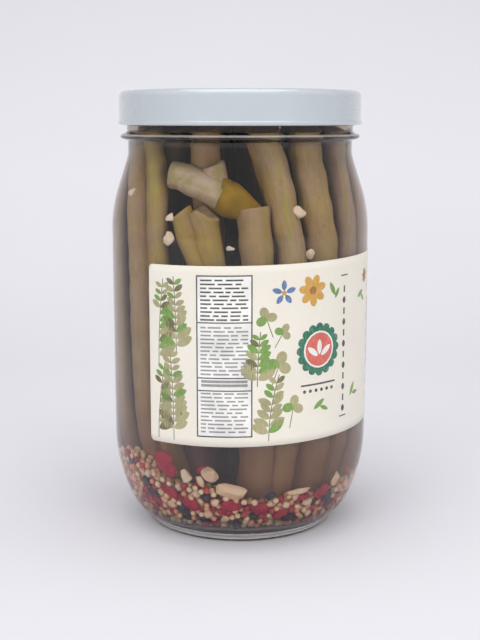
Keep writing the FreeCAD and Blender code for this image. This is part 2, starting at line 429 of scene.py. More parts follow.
class Finish:
    """A node material under construction."""

    def __init__(self, name):
        self.material = bpy.data.materials.new(name)
        self.material.use_nodes = True
        self.tree = self.material.node_tree
        self.tree.nodes.clear()
        self.output = self.add("ShaderNodeOutputMaterial")

    def add(self, kind, inputs=None, **settings):
        node = self.tree.nodes.new(kind)
        for key, value in settings.items():
            setattr(node, key, value)
        self.fill(node, inputs or {})
        return node

    def fill(self, node, inputs):
        """Links sockets and sets plain values, with a colour's fourth number where it lacks."""
        for key, value in inputs.items():
            if isinstance(value, bpy.types.NodeSocket):
                self.tree.links.new(value, node.inputs[key])
            elif isinstance(value, tuple) and node.inputs[key].type == "RGBA":
                node.inputs[key].default_value = (*value, 1)
            else:
                node.inputs[key].default_value = value

    def attribute(self, name):
        return self.add("ShaderNodeAttribute", attribute_name=name).outputs["Fac"]

    def place(self):
        return self.add("ShaderNodeTexCoord").outputs["Object"]

    def height(self):
        return self.add("ShaderNodeSeparateXYZ", {"Vector": self.place()}).outputs["Z"]

    def stretched(self, vector, upwards):
        return self.add("ShaderNodeMapping",
                        {"Vector": vector, "Scale": (1, 1, upwards)}).outputs[0]

    def noise(self, vector, scale, detail=3.0, roughness=0.55):
        return self.add("ShaderNodeTexNoise", {"Vector": vector, "Scale": scale, "Detail": detail,
                                               "Roughness": roughness}).outputs[0]

    def spread(self, value, low, high, to_low=0.0, to_high=1.0):
        return self.add("ShaderNodeMapRange",
                        {"Value": value, "From Min": low, "From Max": high,
                         "To Min": to_low, "To Max": to_high}).outputs[0]

    def maths(self, operation, first, second=0.0):
        return self.add("ShaderNodeMath", {0: first, 1: second}, operation=operation).outputs[0]

    def blend(self, amount, first, second):
        node = self.add("ShaderNodeMix", data_type="RGBA")
        self.fill(node, {0: amount, 6: first, 7: second})
        return node.outputs[2]

    def over(self, ground, colour, value, low, high, most=1.0):
        """Colour over the ground where the value nears high."""
        return self.blend(self.spread(value, low, high, 0, most), ground, colour)

    def bump(self, height, strength, distance):
        return self.add("ShaderNodeBump", {"Height": height, "Strength": strength,
                                           "Distance": distance}).outputs[0]

    def surface(self, **inputs):
        node = self.add("ShaderNodeBsdfPrincipled",
                        {key.replace("_", " "): value for key, value in inputs.items()})
        self.tree.links.new(node.outputs[0], self.output.inputs["Surface"])
        return node

    def lets_lamps_through(self, shader, tint):
        """Shadow rays pass, so that lamps light what is inside."""
        clear = self.add("ShaderNodeBsdfTransparent", {"Color": tint})
        ray = self.add("ShaderNodeLightPath").outputs["Is Shadow Ray"]
        mixed = self.add("ShaderNodeMixShader", {0: ray, 1: shader.outputs[0],
                                                 2: clear.outputs[0]})
        self.tree.links.new(mixed.outputs[0], self.output.inputs["Surface"])


def dress(piece, *materials):
    for material in materials:
        piece.data.materials.append(material)


def clear_jar_glass(name, colour, mirror, clearness=1.0):
    """Glass.  Where brine wets it, its mirror is black, because hardly any light turns back.
    The bead's crest and the foot, where jars rub, are scuffed and less clear; their whitish glass
    is also a painted highlight."""
    finish = Finish(name)
    spot = finish.place()
    waves = finish.noise(finish.stretched(spot, 0.45), 120, 2)
    smears = finish.noise(spot, 60, 3)
    shader = finish.surface(
        Base_Color=colour, IOR=GLASS_IOR, Transmission_Weight=clearness, Specular_Tint=mirror,
        Roughness=finish.spread(smears, 0.35, 0.8, 0.0, 0.02),
        Normal=finish.bump(waves, 0.12, 0.3 * MM))
    finish.lets_lamps_through(shader, (0.985, 0.99, 0.985))
    return finish.material


# How clear the brine is, from the floor up to MURK_TOP: (share of the height, clearness).
MURK = ((0.0, 0.992), (0.14, 0.985), (0.22, 0.966), (0.3, 0.956), (0.5, 0.985), (0.85, 0.998))
MURK_TOP = 140 * MM
PINK_LOW, PINK_HIGH = 20 * MM, 60 * MM  # the red pepper's tint fades out between them


def murky_brine(name, brine, mirror):
    """Brine, cloudy with what sinks in it, pink near the floor."""
    finish = Finish(name)
    height = finish.height()
    drift = finish.noise(finish.stretched(finish.place(), 0.5), 45, 3)
    level = finish.maths("ADD", height, finish.spread(drift, 0.3, 0.7, -6 * MM, 6 * MM))
    clearness = finish.add("ShaderNodeValToRGB", {"Fac": finish.spread(level, 0, MURK_TOP)})
    stops = clearness.color_ramp.elements
    stops[0].position, stops[1].position = MURK[0][0], MURK[-1][0]
    for position, value in MURK[1:-1]:
        stops.new(position)
    for stop, (position, value) in zip(stops, MURK):
        stop.color = (value, value, value, 1)
    tint = finish.over(display(255, 236, 238), tuple(brine.colour), height, PINK_LOW, PINK_HIGH)
    shader = finish.surface(Base_Color=tint, IOR=BRINE_IOR, Roughness=0.03, Specular_Tint=mirror,
                            Transmission_Weight=clearness.outputs[0])
    finish.lets_lamps_through(shader, (0.985, 0.975, 0.95))
    depth = finish.add("ShaderNodeVolumeAbsorption",
                       {"Color": tuple(brine.murk_colour), "Density": brine.murk})
    haze = finish.add("ShaderNodeVolumeScatter",
                      {"Color": tuple(brine.haze_colour), "Density": brine.haze,
                       "Anisotropy": 0.2})
    both = finish.add("ShaderNodeAddShader", {0: depth.outputs[0], 1: haze.outputs[0]})
    finish.tree.links.new(both.outputs[0], finish.output.inputs["Volume"])
    return finish.material


def lacquer(name, colour):
    """Baked lacquer with faint orange peel, and rubbed patches along the cap's edge."""
    finish = Finish(name)
    spot = finish.place()
    orange_peel = finish.noise(spot, 900, 2)
    clouds = finish.noise(spot, 40, 4)
    scuffs = finish.noise(finish.stretched(spot, 14), 260, 4)
    worn = finish.spread(scuffs, 0.62, 0.74)
    tone = finish.over(shade(colour, 0.965), colour, clouds, 0.3, 0.7)
    tone = finish.blend(finish.maths("MULTIPLY", worn, 0.25), tone, shade(colour, 0.88))
    finish.surface(Base_Color=tone, Roughness=finish.spread(worn, 0, 1, 0.26, 0.42),
                   Coat_Weight=1.0, Coat_Roughness=0.08,
                   Normal=finish.bump(orange_peel, 0.05, 0.05 * MM))
    return finish.material


def label_paper(colour):
    """Coated paper, its fibres lying round the jar."""
    finish = Finish("label_paper")
    spot = finish.place()
    fibres = finish.noise(finish.stretched(spot, 0.35), 1500, 4, 0.7)
    clouds = finish.noise(spot, 55, 4)
    tone = finish.over(shade(colour, 0.95), colour, clouds, 0.3, 0.7)
    tone = finish.over(tone, shade(colour, 0.9), fibres, 0.35, 0.75, 0.3)
    finish.surface(Base_Color=tone, Roughness=finish.spread(fibres, 0.3, 0.7, 0.42, 0.58),
                   Normal=finish.bump(fibres, 0.12, 0.04 * MM))
    return finish.material


def label_ink(paper_colour):
    """Ink in each shape's own colour, a little uneven where the paper's fibres take it."""
    finish = Finish("label_ink")
    mixed = finish.add("ShaderNodeCombineColor", {
        channel: finish.attribute(channel.lower())
        for channel in ("Red", "Green", "Blue")}).outputs[0]
    spot = finish.place()
    fibres = finish.noise(finish.stretched(spot, 0.35), 1500, 3, 0.7)
    clouds = finish.noise(spot, 90, 3)
    tone = finish.over(mixed, paper_colour, fibres, 0.45, 0.8, 0.25)
    tone = finish.over(tone, (0.02, 0.02, 0.02), clouds, 0.4, 0.7, 0.2)
    finish.surface(Base_Color=tone, Roughness=finish.spread(fibres, 0.3, 0.7, 0.38, 0.5),
                   Normal=finish.bump(fibres, 0.1, 0.03 * MM))
    return finish.material


# Levels that a bean's colour changes between.
STEEP_LOW, STEEP_HIGH = 30 * MM, 54 * MM      # painted haze and shade of the cloudy brine on the beans below
LIT_LOW, LIT_HIGH = 34 * MM, 50 * MM          # light from the pale spices reaches up
SURFACE_LOW, SURFACE_HIGH = 132 * MM, 139 * MM  # light comes in under the cap
DRY_LOW, DRY_HIGH = 133.5 * MM, 138.5 * MM    # painted shade: tops darken to brown where the cap shades them


def bean_skin(name, bean, light, deep):
    """Pickled pods: mauve, khaki or olive, streaked lengthways, pale where they are cut.  Light
    is how much of the colour shows, a painted shade; deep is the pair of colours painted on their
    lower ends for the haze and shade of the cloudy brine."""
    finish = Finish(name)
    tone, cut = finish.attribute("tone"), finish.attribute("cut")
    side = finish.attribute("around")
    grid = finish.add("ShaderNodeCombineXYZ", {
        "X": finish.maths("MULTIPLY", side, 3.4),
        "Y": finish.maths("MULTIPLY", finish.attribute("run"), 0.75),
        "Z": finish.maths("MULTIPLY", finish.attribute("own"), 37.0)})
    streaks = finish.noise(grid.outputs[0], 2.0, 4, 0.62)
    spot = finish.place()
    patches = finish.noise(spot, 90, 3)
    blotches = finish.noise(spot, 190, 4)
    specks = finish.noise(spot, 900, 2)
    height = finish.height()
    fresh, dusky = tuple(bean.fresh), tuple(bean.dusky)
    skin = finish.over(dusky, tuple(bean.dull), tone, 0.0, 0.5)
    for colour, value, low, high, most in (
            (fresh, tone, 0.5, 1.0, 1.0),
            (dusky, patches, 0.4, 0.66, 0.65),
            (shade(fresh, 0.5), streaks, 0.4, 0.75, 0.42),
            (display(206, 178, 142), blotches, 0.52, 0.7, 0.3),
            (display(96, 84, 56), specks, 0.62, 0.72, 0.3)):
        skin = finish.over(skin, colour, value, low, high, most)
    seam_strength = 0.65 if light > 0.5 else 0.0  # no seam shows deep inside
    seam = finish.spread(finish.maths("ABSOLUTE", side), 0.34, 0.04, 0, seam_strength)
    skin = finish.blend(finish.maths("MULTIPLY", seam, finish.spread(blotches, 0.36, 0.6)), skin,
                        tuple(bean.seam))
    brown = finish.over(tuple(bean.amber), shade(bean.amber, 0.62), blotches, 0.4, 0.68)
    skin = finish.blend(finish.attribute("browned"), skin, brown)
    inside = finish.over(tuple(bean.pale), display(190, 178, 122), blotches, 0.4, 0.62)
    skin = finish.blend(finish.attribute("bleached"), skin, inside)
    skin = finish.blend(cut, skin, inside)
    # Painted haze and shade: lower ends blend toward the deep colours.
    depth = finish.maths("MULTIPLY", finish.spread(height, STEEP_HIGH, STEEP_LOW, 0, 0.8),
                         finish.spread(tone, 0.6, 1.0, 1, 0.25))
    skin = finish.blend(depth, skin, finish.over(*deep, streaks, 0.4, 0.65))
    # Painted shade: the tops darken toward brown under the cap.
    skin = finish.over(skin, display(116, 92, 78), height, DRY_LOW, DRY_HIGH, 0.8)
    # Painted light and shade: the colour is darkened to the share of light a bean is given, more
    # of it near the spices below and under the cap.
    lit = finish.maths("MAXIMUM",
                       finish.spread(height, LIT_HIGH, LIT_LOW, light, max(light, 0.8)),
                       finish.spread(height, SURFACE_LOW, SURFACE_HIGH))
    skin = finish.blend(lit, (0.0, 0.0, 0.0), skin)
    finish.surface(Base_Color=skin, Roughness=0.42, Specular_IOR_Level=0.3,
                   Normal=finish.bump(finish.blend(0.5, streaks, specks), 0.25, 0.25 * MM))
    return finish.material


def soft_flesh(name, light, dark, scale):
    """Garlic, pepper and other soft pieces: two tones in clouds with finer grain over them."""
    finish = Finish(name)
    spot = finish.place()
    clouds = finish.noise(spot, scale, 4)
    grain = finish.noise(spot, scale * 7, 2)
    tone = finish.over(light, dark, clouds, 0.35, 0.65)
    tone = finish.over(tone, dark, finish.attribute("tone"), 0, 1, 0.55)
    finish.surface(Base_Color=tone, Roughness=0.45,
                   Normal=finish.bump(grain, 0.3, 0.15 * MM))
    return finish.material


def seed_coat(name, light, middle, dark, scale):
    """Seeds that differ one from the next."""
    finish = Finish(name)
    tone = finish.attribute("tone")
    grain = finish.noise(finish.place(), scale, 3)
    colour = finish.over(light, middle, tone, 0.0, 0.5)
    colour = finish.over(colour, dark, tone, 0.6, 1.0)
    colour = finish.over(colour, shade(middle, 0.6), grain, 0.45, 0.75, 0.5)
    finish.surface(Base_Color=colour, Roughness=finish.spread(grain, 0.3, 0.7, 0.35, 0.55),
                   Normal=finish.bump(grain, 0.3, 0.1 * MM))
    return finish.material


def studio_sweep(colour):
    """Matt paper, darker towards its top as a painted falloff of the light."""
    finish = Finish("studio_sweep")
    grain = finish.noise(finish.place(), 6, 3)
    tone = finish.over(shade(colour, 0.985), colour, grain, 0.3, 0.7)
    # Painted shade: the sweep darkens towards its top.
    tone = finish.over(tone, shade(colour, 0.64), finish.height(), 0.1, 0.75)
    finish.surface(Base_Color=tone, Roughness=0.9, Specular_IOR_Level=0.1)
    return finish.material


# --------------------------------------------------------------------------- glass and lid


FOOT_CORNER, FOOT_FACE = 1.2 * MM, 1.6 * MM
RIM_ROUND = 0.9 * MM
BEAD_BELOW_CAP, BEAD_ROOT, BEAD_ROUND = 3.8 * MM, 3.2 * MM, 0.9 * MM
LEADS = 6  # thread ridges, one for each of the cap's lugs
LEAD_LEVEL, LEAD_RADIUS = 145.0 * MM, 1.2 * MM
LEAD_TILT, LEAD_HALF_SPAN, LEAD_FADE = math.radians(3), math.radians(20), math.radians(3)
RIPPLE_WAVE = 9.0 * MM
WETTED_DEPTH = 0.6 * MM      # inner faces lie this close to the smooth inner wall
DRY_FLOOR_TOP = 9 * MM       # under it, light does turn back from the floor
# where the foot is scuffed and given a painted highlight
SCUFF_LOW, SCUFF_HIGH = 1.0 * MM, 3.2 * MM
FINE, SLOPE = 0.15 * MM, 0.4 * MM  # steps along an outline


class JAR_OT_glass(bpy.types.Operator):
    """Make the glass jar, with its foot, bead and broken thread"""

    bl_idname = "bean_jar.glass"
    bl_label = "Glass jar"

    def execute(self, context):
        jar, lid = context.scene.jar_glass_settings, context.scene.lid_settings
        shape = JarShape(jar)
        face_outer = jar.foot_radius - FOOT_CORNER
        face_inner = face_outer - FOOT_FACE
        bead = lid.top - lid.height - BEAD_BELOW_CAP
        bead_tip = shape.neck + jar.bead_reach - BEAD_ROUND
        under, over = (shape.neck, bead - BEAD_ROOT / 2), (shape.finish, bead + BEAD_ROOT / 2)
        rim = jar.height - RIM_ROUND
        bore = shape.neck - jar.wall
        outline = joined(
            dome(jar.push_up, face_inner - FOOT_CORNER, FOOT_CORNER),
            arc((face_inner, FOOT_CORNER), FOOT_CORNER, -2 * QUARTER, -QUARTER, FINE),
            arc((face_outer, FOOT_CORNER), FOOT_CORNER, -QUARTER, 0, FINE),
            shape.side(0),
            straight((shape.neck, shape.neck_low), under),
            straight(under, (bead_tip, bead - BEAD_ROUND), SLOPE),
            arc((bead_tip, bead), BEAD_ROUND, -QUARTER, QUARTER, 0.12 * MM),
            straight((bead_tip, bead + BEAD_ROUND), over, SLOPE),
            straight(over, (shape.finish, rim), 0.26 * MM),
            arc((shape.finish - RIM_ROUND, rim), RIM_ROUND, 0, QUARTER, FINE),
            arc((bore + RIM_ROUND, rim), RIM_ROUND, QUARTER, 2 * QUARTER, FINE),
            straight((bore, rim), (bore, shape.neck_low)),
            shape.side(jar.wall)[::-1],
            shape.floor_dome(jar.wall, jar.push_up + jar.base_wall)[::-1])
        phases = np.random.default_rng(3).uniform(0, TAU, (5, 2))

        def uneven(angles, radii, heights):
            """Ripples of the inner wall and the ridges of the thread."""
            radius, height = radii[0], heights[0]
            if abs(radius - shape.inner(height)) < 0.02 * MM and height > shape.panel_low:
                for number, (first, second) in enumerate(phases, 1):
                    wave = np.sin(number * angles + first) \
                        * np.sin(height / (RIPPLE_WAVE / number) + second)
                    radii = radii + jar.ripple / number * wave
            if radius > shape.finish - HAIR and height > LEAD_LEVEL - 3 * MM:
                away = (angles + TAU / LEADS / 2) % (TAU / LEADS) - TAU / LEADS / 2
                level = LEAD_LEVEL + shape.finish * np.sin(away) * math.sin(LEAD_TILT)
                ends = np.clip((LEAD_HALF_SPAN - abs(away)) / LEAD_FADE, 0, 1)
                ridge = np.sqrt(np.clip(LEAD_RADIUS ** 2 - (heights - level) ** 2, 0, None))
                radii = radii + ridge * np.sqrt(ends)
            return radii, heights

        piece = turned("jar_glass_shell", outline, GLASS_SEGMENTS, uneven)
        colour = tuple(jar.colour)
        dress(piece, clear_jar_glass("clear_jar_glass", colour, MIRROR),
              clear_jar_glass("wetted_jar_glass", colour, NO_MIRROR),
              clear_jar_glass("scuffed_highlight_jar_glass", colour, MIRROR, SCUFFED_CLEARNESS))
        middles, up = face_values(piece, "center"), face_values(piece, "normal")[:, 2]
        radii, heights = np.hypot(middles[:, 0], middles[:, 1]), middles[:, 2]
        wetted = (radii < shape.inner(heights) + WETTED_DEPTH) & (heights > DRY_FLOOR_TOP) \
            & (heights < context.scene.brine_settings.level - MM)
        # Scuffed faces on the bead's crest and the foot, also a painted highlight there.
        crest = (radii > bead_tip) & (up > 0.15) & (abs(heights - bead) < BEAD_ROUND)
        foot = (radii > face_outer) & (heights > SCUFF_LOW) & (heights < SCUFF_HIGH)
        share_out(piece, np.where(crest | foot, 2, wetted))
        seat(piece, "glass", "jar_glass")
        return {"FINISHED"}


RECESS_DEPTH, BUTTON_STEP, BUTTON_RADIUS = 1.2 * MM, 0.5 * MM, 14 * MM
RECESS_INSET, RECESS_DRAFT = 1.4 * MM, 0.4 * MM  # the sunk panel's wall, in from the bore
CAP_CORNER, PRESS_ROUND = 2.2 * MM, 0.55 * MM
CURL_PROUD = 0.4 * MM
CAP_DENT = 0.02 * MM
LUG_CLEARANCE, LUG_HEIGHT, LUG_HALF_SPAN = 0.4 * MM, 1.2 * MM, math.radians(7)


class JAR_OT_lid(bpy.types.Operator):
    """Make the pressed lug cap with its rolled edge and sunk panel"""

    bl_idname = "bean_jar.lid"
    bl_label = "Cap"

    def execute(self, context):
        lid, jar = context.scene.lid_settings, context.scene.jar_glass_settings
        shape = JarShape(jar)
        low, skirt = lid.top - lid.height, lid.skirt_radius
        skirt_low = low + 2.1 * lid.curl_radius
        recess = lid.top - RECESS_DEPTH
        button = recess - BUTTON_STEP
        wall = shape.neck - jar.wall - RECESS_INSET
        corners = [(0, button), (BUTTON_RADIUS, button), (BUTTON_RADIUS + BUTTON_STEP, recess),
                   (wall, recess), (wall + RECESS_DRAFT, lid.top), (skirt, lid.top),
                   (skirt, skirt_low)]
        top = rounded(corners, 4 * [PRESS_ROUND] + [CAP_CORNER])
        dense = [top[0]]
        for point in top[1:]:
            dense += straight(dense[-1], point, 1.6 * MM)[1:]
        line = np.array(dense)
        along = unit(np.gradient(line, axis=0))
        under = line + lid.sheet * np.stack([along[:, 1], -along[:, 0]], 1)
        under[:, 0] = np.maximum(under[:, 0], 0)
        under[0, 0] = 0
        curl = (skirt + CURL_PROUD - lid.curl_radius, low + lid.curl_radius)
        roll = arc(curl, lid.curl_radius, math.radians(58), math.radians(-262), 0.16 * MM)
        outline = joined(dense, roll, under[::-1].tolist())[::-1]
        dents = np.random.default_rng(5).uniform(0, TAU, 4)

        def hand_worn(angles, radii, heights):
            """A skirt pressed in a little here and there."""
            swell = sum(np.sin((2 + k) * angles + phase) for k, phase in enumerate(dents))
            return radii - CAP_DENT * (1 + swell / 4) * (radii > skirt / 2), heights

        piece = turned("cap_pressed_sheet", outline, 256, hand_worn)
        outside = lacquer("white_lacquer", tuple(lid.lacquer))
        dress(piece, outside, lacquer("inner_lacquer", tuple(lid.inner_lacquer)))
        middles, normals = face_values(piece, "center"), face_values(piece, "normal")
        radii = np.hypot(*middles[:, :2].T)
        inwards = -(normals[:, :2] * middles[:, :2]).sum(1) / radii
        inside_skirt = (inwards > 0.5) & (radii > skirt - 3 * lid.sheet)
        share_out(piece, (inside_skirt | (normals[:, 2] < -0.5)) & (middles[:, 2] > skirt_low))
        seat(piece, "lid", "lid")

        lugs = Heap()
        tip, lug_round = shape.finish + LUG_CLEARANCE, LUG_HEIGHT / 2
        lug_top = curl[1] + lug_round
        section = [(curl[0], lug_top), (curl[0], lug_top - LUG_HEIGHT),
                   *arc((tip + lug_round, lug_top - lug_round), lug_round,
                        -QUARTER, -3 * QUARTER, FINE)]
        steps, sides = 15, len(section)
        here = np.arange(sides)
        for lead in range(LEADS):
            turns = TAU / LEADS * lead + QUARTER + np.linspace(-1, 1, steps) * LUG_HALF_SPAN
            points = [around(a, z, r) for a in turns for r, z in section]
            faces = []
            for step in range(steps - 1):
                faces += strip(step * sides, (step + 1) * sides, here, np.roll(here, -1))
            faces += [here[::-1].tolist(), ((steps - 1) * sides + here).tolist()]
            lugs.add(points, faces)
        piece = lugs.piece("cap_lugs", smooth=False)
        dress(piece, outside)
        seat(piece, "lid")
        return {"FINISHED"}


# --------------------------------------------------------------------------- label


GLUE = 0.05 * MM


class LabelSheet:
    """The label's plane, in distance along it from its left end and height above its edge."""

    def __init__(self, label, jar):
        self.label = label
        self.top = jar.body_diameter / 2 + GLUE + label.paper
        self.length = label.span * self.top
        self.height = label.high - label.low

    def at(self, along, up, proud=0.0):
        """Points on the label's face, proud of it by so much."""
        turn_on = np.asarray(along, float) / self.top
        height = self.label.low + np.asarray(up, float) + self.label.rise * turn_on
        return around(self.label.start + turn_on, height, self.top + proud)


class JAR_OT_label(bpy.types.Operator):
    """Wrap the paper label round the panel"""

    bl_idname = "bean_jar.label"
    bl_label = "Label"

    def execute(self, context):
        label, jar = context.scene.label_settings, context.scene.jar_glass_settings
        sheet = LabelSheet(label, jar)
        corner = label.corner
        bend = corner * (1 - np.cos(np.linspace(0, QUARTER, 9)))
        columns = np.concatenate([bend, np.linspace(corner, sheet.length - corner, 300)[1:-1],
                                  sheet.length - bend[::-1]])
        near = np.minimum(columns, sheet.length - columns)
        lift = np.where(near < corner,
                        corner - np.sqrt(np.clip(corner ** 2 - (corner - near) ** 2, 0, None)), 0)
        rows = np.linspace(0, 1, 25)
        up = lift[:, None] + (sheet.height - 2 * lift)[:, None] * rows
        along = np.broadcast_to(columns[:, None], up.shape)
        face = sheet.at(along, up).reshape(-1, 3)
        back = sheet.at(along, up, -label.paper).reshape(-1, 3)
        wide, tall = up.shape
        index = np.arange(wide * tall).reshape(wide, tall)
        quads = np.stack([index[:-1, :-1], index[1:, :-1], index[1:, 1:], index[:-1, 1:]],
                         -1).reshape(-1, 4)
        behind = wide * tall
        faces = quads.tolist() + (quads[:, ::-1] + behind).tolist()
        edge = np.concatenate([index[:, 0], index[-1, 1:], index[-2::-1, -1], index[0, -2:0:-1]])
        faces += strip(0, behind, np.roll(edge, -1), edge)
        piece = build("label_paper_wrap", np.concatenate([face, back]), faces)
        dress(piece, label_paper(tuple(label.paper_colour)))
        seat(piece, "label", "label")
        return {"FINISHED"}


INK_BASE, INK_LAYER, INK_SUNK = 0.001 * MM, 0.007 * MM, 0.01 * MM  # how the layers lie
# In millimetres of the layout:
INK_COLUMN = 0.8    # between the upright lines that a shape is filled by
INK_HAIR = 2e-3     # lines nearer than this are one
INK_LEAST = 0.01    # least height of a shape at a line


class Print:
    """Shapes printed on the label, in millimetres from its lower left corner.  Each is a thin
    closed slab of ink, so its own outline is what shows."""

    def __init__(self, sheet):
        self.sheet, self.heap = sheet, Heap()

    def fill(self, outline, colour, layer=1):
        """A shape that any upright line crosses once."""
        outline = np.asarray(outline, float)
        left, right = outline[:, 0].min(), outline[:, 0].max()
        evenly = np.linspace(left, right, max(2, int((right - left) / INK_COLUMN) + 2))
        columns = np.unique(np.concatenate([outline[:, 0], evenly]).round(4))
        columns = columns[np.concatenate([[True], np.diff(columns) > INK_HAIR])]
        low, high = np.full(len(columns), np.inf), np.full(len(columns), -np.inf)
        for first, last in zip(outline, np.roll(outline, -1, 0)):
            (u0, v0), (u1, v1) = (first, last) if first[0] <= last[0] else (last, first)
            inside = (columns >= u0 - INK_HAIR) & (columns <= u1 + INK_HAIR)
            part = np.clip((columns[inside] - u0) / max(u1 - u0, HAIR), 0, 1)
            for v in ([v0, v1] if u1 - u0 < 2 * INK_HAIR else [v0 + (v1 - v0) * part]):
                low[inside] = np.minimum(low[inside], v)
                high[inside] = np.maximum(high[inside], v)
        high = np.maximum(high, low + INK_LEAST)
        number = len(columns)
        proud = np.repeat([INK_BASE + INK_LAYER * layer, -INK_SUNK], 2 * number)
        points = self.sheet.at(np.tile(columns, 4) * MM,
                               np.concatenate([low, high, low, high]) * MM, proud)
        here = np.arange(number - 1)
        faces = []
        for one, other in ((0, number), (number * 3, number * 2), (number * 2, 0),
                           (number, number * 3)):
            faces += strip(one, other, here, here + 1)
        faces += [[0, number, 3 * number, 2 * number],
                  [number - 1, 3 * number - 1, 4 * number - 1, 2 * number - 1]]
        self.heap.add(points, faces, red=colour[0], green=colour[1], blue=colour[2])

    def bar(self, left, low, right, high, colour, layer=1):
        self.fill([(left, low), (right, low), (right, high), (left, high)], colour, layer)

    def frame(self, left, low, right, high, line, colour, layer=1):
        self.bar(left, low, right, low + line, colour, layer)
        self.bar(left, high - line, right, high, colour, layer)
        self.bar(left, low + line, left + line, high - line, colour, layer)
        self.bar(right - line, low + line, right, high - line, colour, layer)

    def shape(self, middle, half_length, half_width, lean, colour, layer=1, power=0.5):
        """A leaf, pointed where power is near 1 and round at 0.5."""
        t = np.linspace(0, math.pi, 11)
        edge = np.stack([-np.cos(t) * half_length, np.sin(t) ** (2 * power) * half_width], 1)
        edge = np.concatenate([edge, edge[-2:0:-1] * [1, -1]])
        lean = math.radians(lean)
        self.fill(edge @ [toward(lean), toward(lean + QUARTER)] + middle, colour, layer)

    def disc(self, middle, radius, colour, layer=1):
        self.shape(middle, radius, radius, 0, colour, layer)

    def stroke(self, line, width, colour, layer=1):
        line = np.asarray(line, float)
        along = np.gradient(line, axis=0)
        side = unit(np.stack([-along[:, 1], along[:, 0]], 1)) * width / 2
        for k in range(len(line) - 1):
            self.fill([line[k] - side[k], line[k + 1] - side[k + 1],
                       line[k + 1] + side[k + 1], line[k] + side[k]], colour, layer)

    def ring(self, middle, radius, width, colour):
        rays = [toward(t) for t in np.linspace(0, TAU, 33)]
        inner, outer = radius - width / 2, radius + width / 2
        for ray, after in zip(rays, rays[1:]):
            self.fill([middle + ray * inner, middle + ray * outer,
                       middle + after * outer, middle + after * inner], colour)

    def frond(self, root, height, bow, leaflets, longest, colours, rng):
        """A bowed stalk with pairs of leaflets that grow shorter to the tip."""
        t = np.linspace(0, 1, 15)
        line = np.stack([root[0] + bow * t ** 2, root[1] + height * t], 1)
        self.stroke(line, 0.3, colours[1])
        for k in range(leaflets):
            t = 0.12 + 0.86 * k / leaflets
            foot = np.array([root[0] + bow * t ** 2, root[1] + height * t])
            size = longest * (1 - 0.62 * t) * rng.uniform(0.85, 1.1)
            for way in (-1, 1):
                lean = 90 + way * rng.uniform(48, 66)
                middle = foot + toward(math.radians(lean)) * size * 0.55
                colour = colours[rng.choice(len(colours), p=[0.5, 0.22, 0.28])]
                if 1.2 < middle[0] - size / 2 and 1.2 < middle[1]:
                    self.shape(middle, size / 2, size * 0.25, lean, colour, 2, 0.72)

    def clover(self, middle, size, lean, colours):
        """Three round leaves on a short stalk."""
        stalk = toward(math.radians(lean))
        self.stroke([middle - stalk * s for s in np.linspace(0, size * 1.9, 5)], 0.28, colours[1])
        for k, way in enumerate((0, 105, -105)):
            self.shape(middle + toward(math.radians(lean + way)) * size * 0.52,
                       size * 0.5, size * 0.42, lean + way, colours[(k * 2) % len(colours)], 2)

    def flower(self, middle, radius, petals, colour, heart):
        for k in range(petals):
            t = TAU * k / petals + 0.3
            self.shape(middle + toward(t) * radius * 0.6, radius * 0.42, radius * 0.27,
                       math.degrees(t), colour, 1 + k % 2)
        self.disc(middle, radius * 0.26, heart, 3)

    def pod(self, line, width, colour, seam):
        """A bean pod, drawn as a bowed band with round ends and a thin seam."""
        self.stroke(line, width, colour)
        for end in (line[0], line[-1]):
            self.disc(end, width / 2, colour)
        self.stroke(line, width * 0.14, seam, 2)


OLIVE, MOSS, LEAF = display(170, 164, 120), display(112, 108, 70), display(118, 158, 72)
OCHRE, SALMON, FOREST = display(204, 156, 70), display(218, 104, 88), display(38, 116, 88)
SLATE, NAVY, INK = display(92, 122, 164), display(44, 50, 88), display(72, 70, 72)
WHITE, SILVER = display(242, 241, 236), display(150, 148, 148)
BROWN = display(164, 108, 44)


